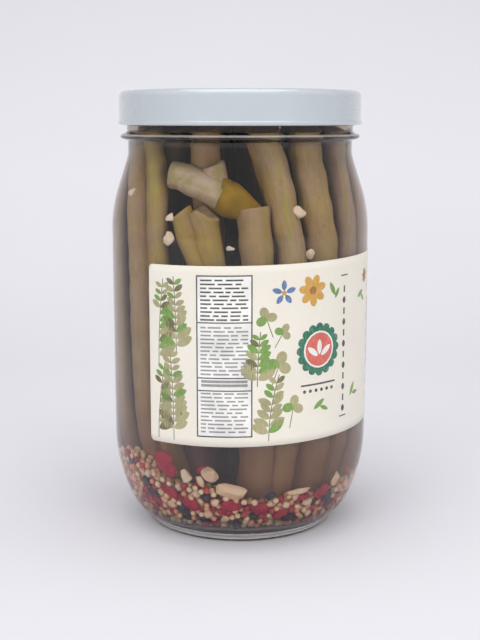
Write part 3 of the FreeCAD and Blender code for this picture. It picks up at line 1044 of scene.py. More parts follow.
class JAR_OT_print(bpy.types.Operator):
    """Print leaves, panels and simple shapes on the label"""

    bl_idname = "bean_jar.print"
    bl_label = "Label print"

    def execute(self, context):
        label, jar = context.scene.label_settings, context.scene.jar_glass_settings
        sheet = LabelSheet(label, jar)
        rng = np.random.default_rng(label.seed)
        greens = [OLIVE, MOSS, LEAF]
        foliage, panels, badge, marks, front = (Print(sheet) for _ in range(5))

        for root, height, bow in (((3.6, 1.4), 26, 3.0), ((9.8, 1.4), 33, -1.5),
                                  ((4.0, 26), 29, 2.0), ((11.0, 30), 26, -1.0),
                                  ((42.0, 1.6), 22, 3.5), ((38.2, 20), 18, 1.0)):
            foliage.frond(root, height, bow, int(height / 2.5), 6.8, greens, rng)
        for middle, size, lean in (((45.5, 27), 4.4, 70), ((41.0, 42.5), 3.6, 110),
                                   ((46.8, 37.5), 3.0, 60), ((50.5, 12.5), 3.8, 80)):
            foliage.clover(np.array(middle), size, lean, [*greens, MOSS])
        for middle, lean in (((60.5, 12), 35), ((66.0, 50), 120), ((78, 14), 60), ((84, 46), 20)):
            foliage.shape(middle, 2.6, 0.9, lean, LEAF, 1, 0.75)
            foliage.shape(np.array(middle) + (2.2, -1.6), 1.9, 0.7, lean - 60, LEAF, 1, 0.75)

        left, low, right, high = 18.2, 3.2, 36.6, 56.6
        panels.bar(left, low, right, high, WHITE)
        panels.frame(left, low, right, high, 0.45, INK, 2)
        for shelf in (18.6, 22.8, 41.0):
            panels.bar(left + 0.45, shelf, right - 0.45, shelf + 0.4, INK, 2)
        for row in np.arange(low + 1.6, high - 1.6, 1.28):
            if min(abs(row + 0.3 - shelf) for shelf in (18.8, 23.0, 41.2)) < 0.75:
                continue
            if 18.6 < row < 22.8:
                panels.bar(left + 1.6, row, right - 1.6, row + 0.9, SILVER, 3)
                continue
            at = left + 1.4
            while at < right - 3.0:
                wide = min(rng.uniform(1.6, 5.6), right - 1.4 - at)
                panels.bar(at, row, at + wide, row + 0.52, INK if row > 41 else SILVER, 3)
                at += wide + rng.uniform(0.6, 1.1)

        middle = np.array((60.4, 30.5))
        for k in range(16):
            badge.disc(middle + toward(TAU * k / 16) * 7.4, 1.5, FOREST)
        badge.disc(middle, 7.6, FOREST)
        badge.disc(middle, 6.2, WHITE, 2)
        badge.disc(middle, 5.6, SALMON, 3)
        for lean in (-52, 0, 52):
            badge.shape(middle + (0, -2.6) + toward(math.radians(90 + lean)) * 3.4,
                        2.5, 0.95, 90 + lean, WHITE, 4, 0.7)
        badge.bar(53.2, 18.6, 67.6, 19.2, INK)
        for k in range(6):
            badge.disc((54.6 + 2.3 * k, 16.8), 0.6, INK)

        marks.flower(np.array((57.5, 50.3)), 5.2, 7, OCHRE, BROWN)
        marks.flower(np.array((88.6, 51.6)), 2.6, 7, display(172, 118, 66), MOSS)
        star = np.array((47.0, 50.3))
        for k in range(5):
            t = TAU * k / 5 + QUARTER
            marks.shape(star + toward(t) * 2.5, 1.7, 0.9, math.degrees(t), SLATE, 1, 0.7)
        marks.disc(star, 0.8, OCHRE, 2)
        for k in range(12):
            height = 8.5 + 3.7 * k
            if k % 2:
                marks.bar(71.7, height - 1.1, 72.5, height + 1.1, INK)
            else:
                marks.shape((72.1, height), 1.25, 0.85, 90, INK, 1, 0.9)
        for height in (5.6, 53.6):
            marks.bar(70.3, height, 73.9, height + 0.45, INK)
        for k in range(9):
            marks.bar(93.4, 6.5 + 5.6 * k, 93.9, 9.6 + 5.6 * k, SILVER)
        for k, (low, high) in enumerate(((20, 42), (15, 38), (23, 45), (17, 40))):
            at = 97.2 + 3.4 * k
            marks.bar(at - 0.95, low, at + 0.95, high, NAVY)
            for end in (low, high):
                marks.disc((at, end), 0.95, NAVY, 2)

        heart = np.array((139.0, 30.5))
        for k in range(30):
            t = TAU * k / 30
            front.shape(heart + toward(t) * 22.4, 3.0, 1.2,
                        math.degrees(t) + (62 if k % 2 else 118), greens[k % 3], 2, 0.72)
        front.ring(heart, 22.4, 0.4, MOSS)
        for k, shift in enumerate((-8.0, 0.0, 8.0)):
            t = np.linspace(-1, 1, 19)
            line = np.stack([heart[0] + shift + (1 - t ** 2) * (3 - 3 * k), heart[1] + 12 * t], 1)
            front.pod(line, 3.4, (LEAF, display(140, 170, 88), LEAF)[k], MOSS)
        front.flower(heart + (0, -17.2), 2.6, 7, OCHRE, BROWN)
        for at in np.arange(168.0, 214.0, 9.0):
            front.clover(np.array((at, 44)), 4.2, 90, [*greens, MOSS])
        for k, colour in enumerate((OLIVE, LEAF, OCHRE, SALMON, SLATE)):
            front.bar(168 + 9 * k, 20, 175 + 9 * k, 31, colour)
            front.bar(168 + 9 * k, 16.2, 175 + 9 * k, 17.0, INK)
        front.bar(112.5, 2.4, 217.5, 5.6, OLIVE)
        for at in np.arange(115.0, 216.0, 4.2):
            front.shape((at, 4.0), 1.1, 0.8, 0, WHITE, 2, 0.9)

        ink = label_ink(tuple(label.paper_colour))
        for part, name in ((foliage, "print_foliage"), (panels, "print_panels"),
                           (badge, "print_badge"), (marks, "print_marks"),
                           (front, "print_front")):
            piece = part.heap.piece(name, smooth=False)
            dress(piece, ink)
            seat(piece, "label")
        return {"FINISHED"}


# --------------------------------------------------------------------------- brine


MENISCUS = 0.9 * MM


class JAR_OT_brine(bpy.types.Operator):
    """Fill the jar with murky brine up to its level"""

    bl_idname = "bean_jar.brine"
    bl_label = "Brine"

    def execute(self, context):
        brine, jar = context.scene.brine_settings, context.scene.jar_glass_settings
        shape = JarShape(jar)
        inset = jar.wall - brine.overlap
        edge = shape.neck - inset
        middle, low = edge - MENISCUS, brine.level - MENISCUS
        outline = joined(shape.floor_dome(inset, jar.push_up + jar.base_wall - brine.overlap),
                         shape.side(inset),
                         straight((edge, shape.neck_low), (edge, brine.level)),
                         arc((middle, brine.level), MENISCUS, 0, -QUARTER, FINE),
                         straight((middle, low), (0, low)))
        piece = turned("brine_fill", outline, GLASS_SEGMENTS)
        dress(piece, murky_brine("murky_brine", brine, NO_MIRROR),
              murky_brine("brine_on_the_floor", brine, MIRROR))
        share_out(piece, face_values(piece, "center")[:, 2] < DRY_FLOOR_TOP)
        seat(piece, "brine", "brine")
        return {"FINISHED"}


# --------------------------------------------------------------------------- beans


class Pod:
    """One bean: its line as (degrees, height, clear of the wall) knots, and its girth.  Tone goes
    from mauve to olive; cut_tone is how pale its cut ends are, slope and bevel how its top is
    cut, and seam where its seam lies round it."""

    def __init__(self, knots, girth, tone=0.5, browned=0.0, top="cut", foot="cut", slope=0.35,
                 seam=90.0, cut_tone=1.0, bleached=0.0, bevel=0.0):
        self.knots, self.girth, self.tone, self.browned = knots, girth, tone, browned
        self.top, self.foot, self.slope, self.seam = top, foot, slope, seam
        self.cut_tone, self.bleached, self.bevel = cut_tone, bleached, bevel


POD_SIDES = 26
POD_STEP = 1.5 * MM
POD_WIDE, POD_THICK = 1.04, 0.90       # a pod's section, as shares of its girth
SEED_WAVE, BULGE_WAVE = 1.75 * MM, 13 * MM
# How a pod's end closes: (length, stretch, least girth).
TAPERS = {"tip": (13 * MM, 1.02, 0.07), "stem": (6 * MM, 1.0, 0.22)}
# Rings that close a cut end: (share of the rim, sink as a share of the radius, paleness).
END_RINGS = ((0.93, -0.02, 0.6), (0.80, 0.02, 1.0), (0.55, 0.16, 1.0), (0.30, 0.10, 1.0))
CUT_FADE = 6 * MM                      # a slanting cut moves the pod's skin this far down


def sweep_pod(heap, shape, pod, rng):
    """Adds the pod to the heap: a slightly flattened tube with lumps over its seeds, a seam along
    each edge and a cut or pointed end."""
    radius = pod.girth / 2 * MM
    knots = np.array(pod.knots, float)
    heights = knots[:, 1] * MM
    reach = shape.inner(heights) - radius - knots[:, 2] * MM
    line = smooth_line(place(knots[:, 0], heights, reach), 70)
    length = np.concatenate([[0], np.cumsum(np.linalg.norm(np.diff(line, axis=0), axis=1))])
    number = max(14, int(length[-1] / POD_STEP))
    steps = np.linspace(0, length[-1], number)
    line = np.stack([np.interp(steps, length, line[:, k]) for k in range(3)], 1)
    wander = rng.uniform(0, TAU, 6)
    along = unit(np.gradient(line, axis=0))
    across = unit(np.cross(along, unit(line * [1, 1, 0])))
    outward = np.cross(across, along)
    lean = math.radians(pod.seam) + 0.5 * np.sin(steps / (38 * MM) + wander[0])
    first = outward * np.cos(lean)[:, None] + across * np.sin(lean)[:, None]
    second = np.cross(along, first)
    sides = POD_SIDES
    turns = np.arange(sides) * TAU / sides
    seeds = SEED_WAVE * (1 + 0.1 * np.sin(wander[1]))
    girth = radius * (1 + 0.035 * np.sin(steps / seeds + wander[2])
                      + 0.03 * np.sin(steps / BULGE_WAVE + wander[3]))
    for end, kind in ((steps, pod.top), (steps[-1] - steps, pod.foot)):
        if kind in TAPERS:
            run_in, stretch, least = TAPERS[kind]
            girth *= np.clip(np.sqrt(np.clip(end / run_in, 0, 1)) * stretch, least, 1)
    notch = np.exp(-(np.minimum(turns, TAU - turns) / 0.16) ** 2) * 0.07 \
        + np.exp(-((turns - math.pi) / 0.14) ** 2) * 0.05
    bulge = 1 - notch + 0.02 * np.cos(3 * turns + wander[4])
    ring = girth[:, None, None] * (
        POD_WIDE * (np.cos(turns) * bulge)[:, None] * first[:, None]
        + POD_THICK * (np.sin(turns) * bulge)[:, None] * second[:, None])
    tubes = line[:, None] + ring
    if pod.top == "cut":
        aside = ring[0] @ across[0]
        shift = pod.slope * (ring[0] @ outward[0]) + 0.3 * pod.slope * aside \
            + pod.bevel * np.clip(-aside - 0.1 * radius, 0, None)
        fade = np.clip(1 - steps / CUT_FADE, 0, 1)
        tubes = tubes + fade[:, None, None] * shift[:, None] * along[0]
    here = np.arange(sides)
    ahead = np.roll(here, -1)
    faces = []
    for step in range(number - 1):
        faces += strip(step * sides, (step + 1) * sides, here, ahead)
    points, cut = [tubes.reshape(-1, 3)], [np.zeros(number * sides)]
    total = number * sides
    closing = len(END_RINGS) * sides + 1
    for end, kind, band in ((0, pod.top, (ahead, here)), (number - 1, pod.foot, (here, ahead))):
        rim, is_cut = tubes[end], kind == "cut"
        middle = rim.mean(0)
        inward = along[end] * (1 if end == 0 else -1) * radius
        last = end * sides
        for share_left, sink, pale in END_RINGS:
            lifted = sink if is_cut else sink * 0.1
            points.append(middle + (rim - middle) * share_left + inward * lifted)
            cut.append(np.full(sides, pale * pod.cut_tone * is_cut))
            faces += strip(last, total, *band)
            last = total
            total += sides
        points.append([middle + inward * 0.1 * is_cut])
        cut.append([pod.cut_tone * is_cut])
        faces += np.stack([last + band[0], last + band[1], np.full(sides, total)], 1).tolist()
        total += 1
    points = np.concatenate(points)
    bumps = np.array([noise.noise(Vector(p) * 160 + Vector((wander[5] * 9, 0, 0)))
                      for p in points])
    spread_out = [*np.full(number, sides), closing, closing]
    stations = np.repeat([*range(number), 0, number - 1], spread_out)
    points = points + (points - line[stations]) * (0.05 * bumps)[:, None]
    side = np.concatenate([np.tile(np.sin(turns), number), np.full(2 * closing, 0.6)])
    heap.add(points, faces, cut=np.concatenate(cut), around=side,
             run=steps[stations] / (10 * MM), tone=pod.tone, browned=pod.browned,
             bleached=pod.bleached, own=rng.uniform(0, 1))


# The pods that show at the front, left to right: (degrees, height, clear of the wall) knots in
# degrees and millimetres, girth in millimetres.
FRONT_PODS = [
    Pod([(-94, 136, 1.0), (-89, 118, 1.2), (-83, 99, 1.0), (-80, 60, 1.5), (-80, 36, 4),
         (-80, 22, 9)],
        9.0, 0.3, top="stem"),
    Pod([(-76, 139, 1.0), (-74, 132, 0.8), (-67, 123, 0.6), (-59, 112, 0.6), (-56, 97, 0.6),
         (-55, 60, 1.2), (-57, 36, 5), (-58, 22, 10)], 9.2, 0.4, seam=70),
    Pod([(-58, 139, 0.6), (-56, 132, 0.6), (-49, 123, 0.5), (-43.5, 112, 0.5), (-42, 97, 0.5),
         (-41, 60, 1.2), (-42, 36, 6), (-42, 22, 11)], 8.1, 0.85, seam=160),
    Pod([(-24, 139, 5.5), (-22, 124, 7), (-20, 100, 12), (-20, 60, 9), (-22, 41, 11)],
        8.6, 0.3, browned=0.25, seam=30),
    Pod([(-38.5, 123.8, 0.5), (-31, 123.2, 0.4), (-23.6, 121.6, 0.4), (-15, 119.5, 0.6),
         (-9, 117.8, 1.0)], 10.2, 0.0, slope=0.2, seam=200, cut_tone=0.85, bleached=0.75),
    Pod([(-15.5, 127.5, 1.8), (-13, 122, 2.4), (-11, 116, 3.5)], 8.4, 0.1, seam=300,
        bleached=0.6),
    Pod([(-12, 118.9, 0.4), (-6, 116.9, 0.5), (2, 114.3, 0.8), (12.5, 110.8, 2.6)],
        11.6, 0.6, browned=1.0, foot="tip", seam=120),
    Pod([(-29.5, 112.4, 0.6), (-27.4, 110.0, 0.6), (-23.3, 102.8, 0.7), (-18.5, 94, 0.8),
         (-12, 72, 1.2), (-9, 47, 6), (-9, 40, 12)], 7.6, 1.0, browned=0.25, slope=0.3, seam=65),
    Pod([(-20.5, 114.0, 0.4), (-17.8, 110.4, 0.4), (-15.6, 105, 0.4), (-13.3, 96, 0.5),
         (-5, 70, 0.8), (-1, 48, 4), (0, 40, 10)], 9.4, 0.95, browned=0.15, slope=0.25,
        seam=150, bevel=1.6),
    Pod([(6.0, 113.8, 0.9), (6.6, 109.8, 0.6), (7.4, 105, 0.5), (8.4, 96, 0.5), (9, 62, 1.2),
         (10, 37, 4), (10, 16, 8)], 10.8, 0.45, browned=0.15, slope=0.12, seam=120),
    Pod([(10, 139, 3.5), (13.5, 130, 4), (20, 118, 8), (26, 100, 10)], 7.6, 0.7, browned=0.5,
        seam=250),
    Pod([(13, 139, 0.6), (15.5, 133, 0.5), (18.5, 127, 0.4), (21, 117, 0.4), (23.4, 107, 0.4),
         (26, 97, 0.4), (27, 60, 1.0), (25, 37, 4), (24, 15, 8)], 10.4, 0.65, seam=5),
    Pod([(41.5, 139, 0.8), (41.3, 131, 0.6), (41, 122, 0.5), (41.2, 112, 0.5), (43.8, 98, 0.5),
         (45, 60, 1.0), (44, 36, 4), (44, 15, 8)], 11.0, 0.55, seam=100),
    Pod([(69, 139, 1.0), (67.8, 132, 0.9), (64.5, 122, 0.8), (62, 112, 0.8), (62.5, 100, 0.8),
         (61, 60, 1.0), (60, 36, 3), (60, 16, 8)], 9.6, 0.0, seam=40),
    Pod([(88, 139, 1.0), (85, 120, 0.8), (80, 100, 0.8), (76, 60, 1.0), (77, 36, 3), (77, 16, 8)],
        9.4, 0.1, top="stem", seam=80),
]


UNDER_CAP, DULL_CUT = 130, 0.2  # a cut end above this level, and any in the middle, is hardly paler than the skin: painted shade
BACK_PODS = (96.0, 262.0)       # degrees that the pods behind stand between
MIDDLE_RINGS = ((25.0, 13), (13.5, 6), (0.5, 1))  # (radius in millimetres, number of pods)
# In the outer of these rings, the degrees between which pods are short, as those before them
# are, and between which they stand on what has settled.
SHORT_PODS, RAISED_PODS = (-52, 16), (-26, 4)


def from_front(angle):
    """The same angle between -180 and 180 degrees."""
    return (np.asarray(angle, float) + 180) % 360 - 180


class JAR_OT_beans(bpy.types.Operator):
    """Stand the pickled beans in the jar"""

    bl_idname = "bean_jar.beans"
    bl_label = "Beans"

    def execute(self, context):
        bean, jar = context.scene.bean_settings, context.scene.jar_glass_settings
        shape = JarShape(jar)
        rng = np.random.default_rng(bean.seed)
        front, hidden = Heap(), Heap()
        for pod in FRONT_PODS:
            # Painted shade: cut ends under the cap are kept as dark as the skin.
            if pod.knots[0][1] > UNDER_CAP:
                pod.cut_tone = DULL_CUT
            sweep_pod(front, shape, pod, rng)
        inner = (shape.body - jar.wall) / MM
        angle = BACK_PODS[0]
        while angle < BACK_PODS[1]:
            lean, top = rng.uniform(-5, 5), rng.uniform(118, 139)
            girth = rng.uniform(8.6, 12.0)
            sweep_pod(front, shape, Pod(
                [(angle + 5 + lean, top, 0.8), (angle + lean * 0.6, 108, 0.6),
                 (angle, 78, rng.uniform(0.5, 1.5)), (angle - lean * 0.4, 50, 1.2),
                 (angle - lean, 36, 3), (angle - lean, rng.uniform(14, 22), 8)],
                girth, rng.uniform(0, 1), top=rng.choice(["cut", "cut", "stem", "tip"]),
                browned=max(0, rng.uniform(-1.2, 0.6)), seam=rng.uniform(0, 360)), rng)
            angle += math.degrees(girth / (inner - girth / 2)) * 1.03
        for radius, number in MIDDLE_RINGS:
            outer = radius == MIDDLE_RINGS[0][0]
            for k in range(number):
                at = 360 / number * (k + rng.uniform(-0.12, 0.12)) + radius
                girth = rng.uniform(9, 11)
                gap = inner - radius - girth / 2
                top, lean_out = rng.uniform(137, 144), 3.0
                if outer and SHORT_PODS[0] < from_front(at) < SHORT_PODS[1]:
                    top, lean_out = rng.uniform(84, 92), 0.0
                raised = outer and RAISED_PODS[0] < from_front(at) < RAISED_PODS[1]
                foot = rng.uniform(40, 43) if raised else rng.uniform(12, 16)
                sweep_pod(hidden, shape, Pod(
                    [(at, top, gap - lean_out), (at + rng.uniform(-4, 4), 76, gap),
                     (at + rng.uniform(-5, 5), 50, gap), (at, foot, gap)],
                    girth, rng.uniform(0, 1), top=rng.choice(["cut", "tip"]),
                    seam=rng.uniform(0, 360), cut_tone=DULL_CUT), rng)
        # Lit and shaded copies of one skin: the beans in the middle get painted shade, and both
        # get painted haze and shade on their lower ends.
        for heap, name, light, deep in (
                (front, "beans_by_the_glass", 0.86, (tuple(bean.steeped), display(158, 128, 84))),
                (hidden, "beans_in_the_middle", bean.middle_light,
                 (display(146, 114, 140), display(122, 108, 136)))):
            piece = heap.piece(name)
            dress(piece, bean_skin(name + "_skin", bean, light, deep))
            seat(piece, "brine")
        return {"FINISHED"}


# --------------------------------------------------------------------------- what has settled


def ball(steps):
    """Points and faces of a round of triangles, from an icosahedron split so many times."""
    mesh = bpy.data.meshes.new("ball")
    form = bmesh.new()
    bmesh.ops.create_icosphere(form, subdivisions=steps, radius=1.0)
    form.to_mesh(mesh)
    form.free()
    points = np.array([v.co[:] for v in mesh.vertices])
    faces = [list(p.vertices) for p in mesh.polygons]
    bpy.data.meshes.remove(mesh)
    return points, faces


def spun(rng):
    """A random turn."""
    q = rng.normal(size=4)
    w, x, y, z = q / np.linalg.norm(q)
    return np.array([[1 - 2 * (y * y + z * z), 2 * (x * y - z * w), 2 * (x * z + y * w)],
                     [2 * (x * y + z * w), 1 - 2 * (x * x + z * z), 2 * (y * z - x * w)],
                     [2 * (x * z - y * w), 2 * (y * z + x * w), 1 - 2 * (x * x + y * y)]])


def chunk(form, cuts, rng):
    """A round form with flat sides, as a knife leaves them."""
    points = form.copy()
    for _ in range(cuts):
        way = rng.normal(size=3)
        way /= np.linalg.norm(way)
        over = np.clip(points @ way - rng.uniform(0.5, 0.85), 0, None)
        points -= (over * 0.96)[:, None] * way
    return points / abs(points).max(0)


def rough(points, scale, amount, shift):
    """Points pushed in and out along themselves by noise."""
    return points * (1 + amount * np.array(
        [noise.noise(Vector(p) * scale + Vector((shift, 0, 0))) for p in points]))[:, None]


# The settled layer's hills and hollows: (height, angle, breadth) in millimetres and degrees.
BANK = 19.5
HILLS = ((9.0, -66, 30), (-0.5, 62, 26), (4.0, -20, 12), (-3.0, 10, 14))


def bank(angle):
    """Height of the settled layer by the wall, in millimetres, at an angle from the front."""
    a = from_front(angle)
    height = BANK
    for rise, middle, breadth in HILLS:
        height = height + rise * np.exp(-((a - middle) / breadth) ** 2)
    return height + 1.3 * np.sin(np.radians(a * 5 + 40))


SETTLED_RADIUS = 38   # millimetres, about where the larger pieces lie
WALL_GAP = 0.1 * MM
LAYER_FLOOR = 6.0 * MM
LEAST_REACH = 2 * MM  # nothing is scattered nearer the axis


class Settled:
    """Free places in the settled layer."""

    def __init__(self, shape, rng):
        self.shape, self.rng = shape, rng
        self.cell, self.largest = 3.0 * MM, 2.4 * MM  # of a cell, and of what is scattered
        self.taken = {}

    def cell_of(self, spot):
        return tuple(int(math.floor(c / self.cell)) for c in spot)

    def free(self, spot, radius, squeeze=0.9):
        return all(math.dist(spot, other) > (radius + size) * squeeze
                   for other, size in self.taken.get(self.cell_of(spot), ()))

    def take(self, spot, radius):
        """Marks a round place in each cell from which a later piece could touch it."""
        reach = radius + self.largest
        low = self.cell_of(np.asarray(spot) - reach)
        high = self.cell_of(np.asarray(spot) + reach)
        for x in range(low[0], high[0] + 1):
            for y in range(low[1], high[1] + 1):
                for z in range(low[2], high[2] + 1):
                    self.taken.setdefault((x, y, z), []).append((tuple(spot), radius))

    def take_lying(self, spot, points):
        """Marks a larger piece as three round places along its length."""
        angle, height, _, length, width, _, tilt = spot
        middle, t = points.mean(0), math.radians(tilt)
        narrow = min(length, width) * MM
        self.take(middle, narrow * 0.42)
        for out in (-0.3 * length, 0.3 * length):
            turned_by = math.degrees(out * math.cos(t) / SETTLED_RADIUS)
            self.take(place(angle + turned_by, (height + out * math.sin(t)) * MM,
                            np.linalg.norm(middle[:2])), narrow * 0.36)

    def inside(self, height, radius):
        """The furthest out that a piece of this radius lies at this height."""
        clear = radius + WALL_GAP
        wall = self.shape.inner(height) - clear
        centre, reach, _ = self.shape.inner_heel(self.shape.jar.wall)
        if height < centre[1]:
            reach -= clear
            drop = centre[1] - height
            if drop >= reach:
                return 0.0
            wall = min(wall, centre[0] + math.sqrt(reach ** 2 - drop ** 2))
        return wall

    def scatter(self, number, radius, depth, high=1.0, squeeze=0.9, tries=60):
        """Spots for pieces of this radius, within depth of the wall and under this share of the
        layer's height."""
        found = []
        for _ in range(number * tries):
            if len(found) == number:
                break
            angle = self.rng.uniform(0, 360)
            size = radius * self.rng.uniform(0.85, 1.12)
            floor = LAYER_FLOOR + size
            top = bank(angle) * MM - size
            height = floor + (top - floor) * (high * self.rng.uniform(0, 1))
            out = self.inside(height, size) - depth * self.rng.uniform(0, 1) ** 1.5
            if out < LEAST_REACH or height < self.shape.floor(out) + size:
                continue
            spot = place(angle, height, out)
            if self.free(spot, size, squeeze):
                self.take(spot, size)
                found.append((spot, size))
        return found


# Larger pieces that lie against the glass: (degrees, height, clear of the wall, length, width,
# thickness, tilt in degrees).
GARLIC = [
    (-4.5, 20.6, 0.4, 10.4, 5.6, 3.2, -10), (-14.5, 26.6, 1.2, 6.2, 4.8, 3.0, -50),
    (-26, 25.0, 0.6, 5.0, 4.0, 3.0, -65), (30, 19.4, 0.8, 9.0, 2.2, 2.4, 2),
    (-12, 16.4, 0.5, 3.2, 2.8, 2.6, 20), (54, 20.5, 0.8, 5.4, 4.4, 3.0, 30),
    (-19, 23.6, 0.6, 4.2, 2.6, 2.6, -75), (-37, 13.4, 0.6, 3.8, 3.0, 2.6, 20),
    (-8, 10.2, 0.6, 4.0, 3.4, 3.0, 60), (100, 20.0, 0.6, 9.0, 5.6, 3.2, 25),
    (140, 19.0, 0.6, 10.0, 5.5, 3.4, -20), (185, 20.0, 0.6, 7.5, 5.5, 3.2, 50),
    (232, 21.0, 0.6, 9.5, 5.8, 3.2, -10), (262, 20.0, 0.6, 6.0, 5.0, 3.0, 15),
    (36, 14.5, 0.6, 4.0, 3.2, 3.0, 10), (118, 14.0, 0.8, 6.0, 4.0, 3.0, 40),
]
CRIMSON = [
    (-38, 29.6, 0.5, 8.0, 7.6, 2.6, 10), (-34.5, 26.2, 0.6, 5.6, 5.0, 2.4, 60),
    (-36, 18.6, 0.5, 8.5, 4.6, 2.4, -28), (-25, 15.0, 0.6, 6.5, 4.6, 2.4, -20),
    (-4, 15.2, 0.7, 7.6, 4.4, 2.4, 0), (9.5, 14.6, 0.5, 5.2, 6.6, 2.6, 50),
    (-17, 27.4, 2.4, 5.4, 3.2, 2.2, 0), (45, 18.0, 0.6, 4.6, 5.4, 2.4, -40),
    (21, 11.6, 0.6, 5.0, 3.4, 2.2, 20), (-47, 14.0, 0.6, 3.6, 2.6, 2.2, 0),
    (64, 22.0, 0.6, 3.6, 3.0, 2.2, 30), (92, 17.0, 0.8, 7.5, 6.0, 2.4, 0),
    (125, 20.0, 0.8, 7.0, 5.5, 2.4, 35), (158, 16.0, 0.8, 8.0, 5.5, 2.4, -30),
    (205, 18.0, 0.8, 8.0, 6.5, 2.4, 10), (216, 22.0, 1.2, 5.5, 5.0, 2.4, 60),
    (246, 17.0, 0.8, 8.5, 5.0, 2.4, -20), (275, 22.0, 0.8, 6.5, 5.0, 2.4, 40),
    (288, 16.0, 0.8, 6.0, 5.0, 2.4, 0),
]
BLACK = [  # peppercorns that show at the glass
    (-52, 20.4, 0.4, 5.0, 4.8, 4.0, 0), (-49, 16.0, 0.4, 4.6, 4.2, 4.0, 0),
    (-31, 12.8, 0.4, 4.6, 4.2, 4.0, 0), (-20, 9.8, 0.4, 4.2, 4.0, 4.0, 0),
    (-3.5, 8.6, 0.4, 4.0, 3.8, 3.8, 0), (28, 9.6, 0.4, 4.6, 4.4, 4.0, 0),
    (50, 15.4, 0.4, 4.0, 4.4, 4.0, 0), (15, 19.0, 0.6, 3.6, 3.4, 3.6, 0),
]
CLINGING = [  # crumbs of garlic on the wall
    (-32.2, 111.0, 0.1, 3.0, 2.6, 1.6, 40), (-33, 104.6, 0.1, 4.4, 3.4, 2.0, 60),
    (27.6, 113.0, 0.1, 4.6, 3.6, 2.0, 120), (32.2, 99.6, 0.1, 3.4, 3.0, 2.0, 100),
    (-4.5, 102.0, 0.8, 2.8, 1.6, 1.4, 0), (150, 116, 0.3, 4.0, 3.0, 2.0, 20),
    (228, 104, 0.3, 4.4, 3.2, 2.0, 60), (248, 88, 0.3, 3.6, 2.6, 1.8, 10),
    (262, 60, 0.3, 4.2, 3.0, 2.0, 80), (298, 118, 0.3, 3.8, 2.8, 2.0, 0),
]


def lying(shape, spot, flatness, form, rng, uneven):
    """A soft piece that lies against the wall: the form flattened, tilted and laid on it."""
    angle, height, gap, length, width, thickness, tilt = spot
    points = rough(chunk(form, 9, rng), 1.4, uneven, rng.uniform(0, 90))
    points = rough(points, 5.0, 0.05, rng.uniform(0, 90))
    points = np.sign(points) * abs(points) ** flatness
    lean = math.radians(tilt)
    across, up = (points[:, :2] * [length / 2, width / 2] @ [toward(lean),
                                                             toward(lean + QUARTER)]).T
    heights = (height + up) * MM
    wall = shape.inner(np.clip(heights, 8 * MM, None))
    reach = wall + (points[:, 2] * thickness / 2 - gap - thickness / 2) * MM
    turns = angle + np.degrees(across * MM / np.maximum(reach, 10 * MM))
    return place(turns, heights, reach)


PULP_FLOOR, PULP_CLEAR = 10 * MM, 3.6 * MM  # its underside, and how far in from the glass


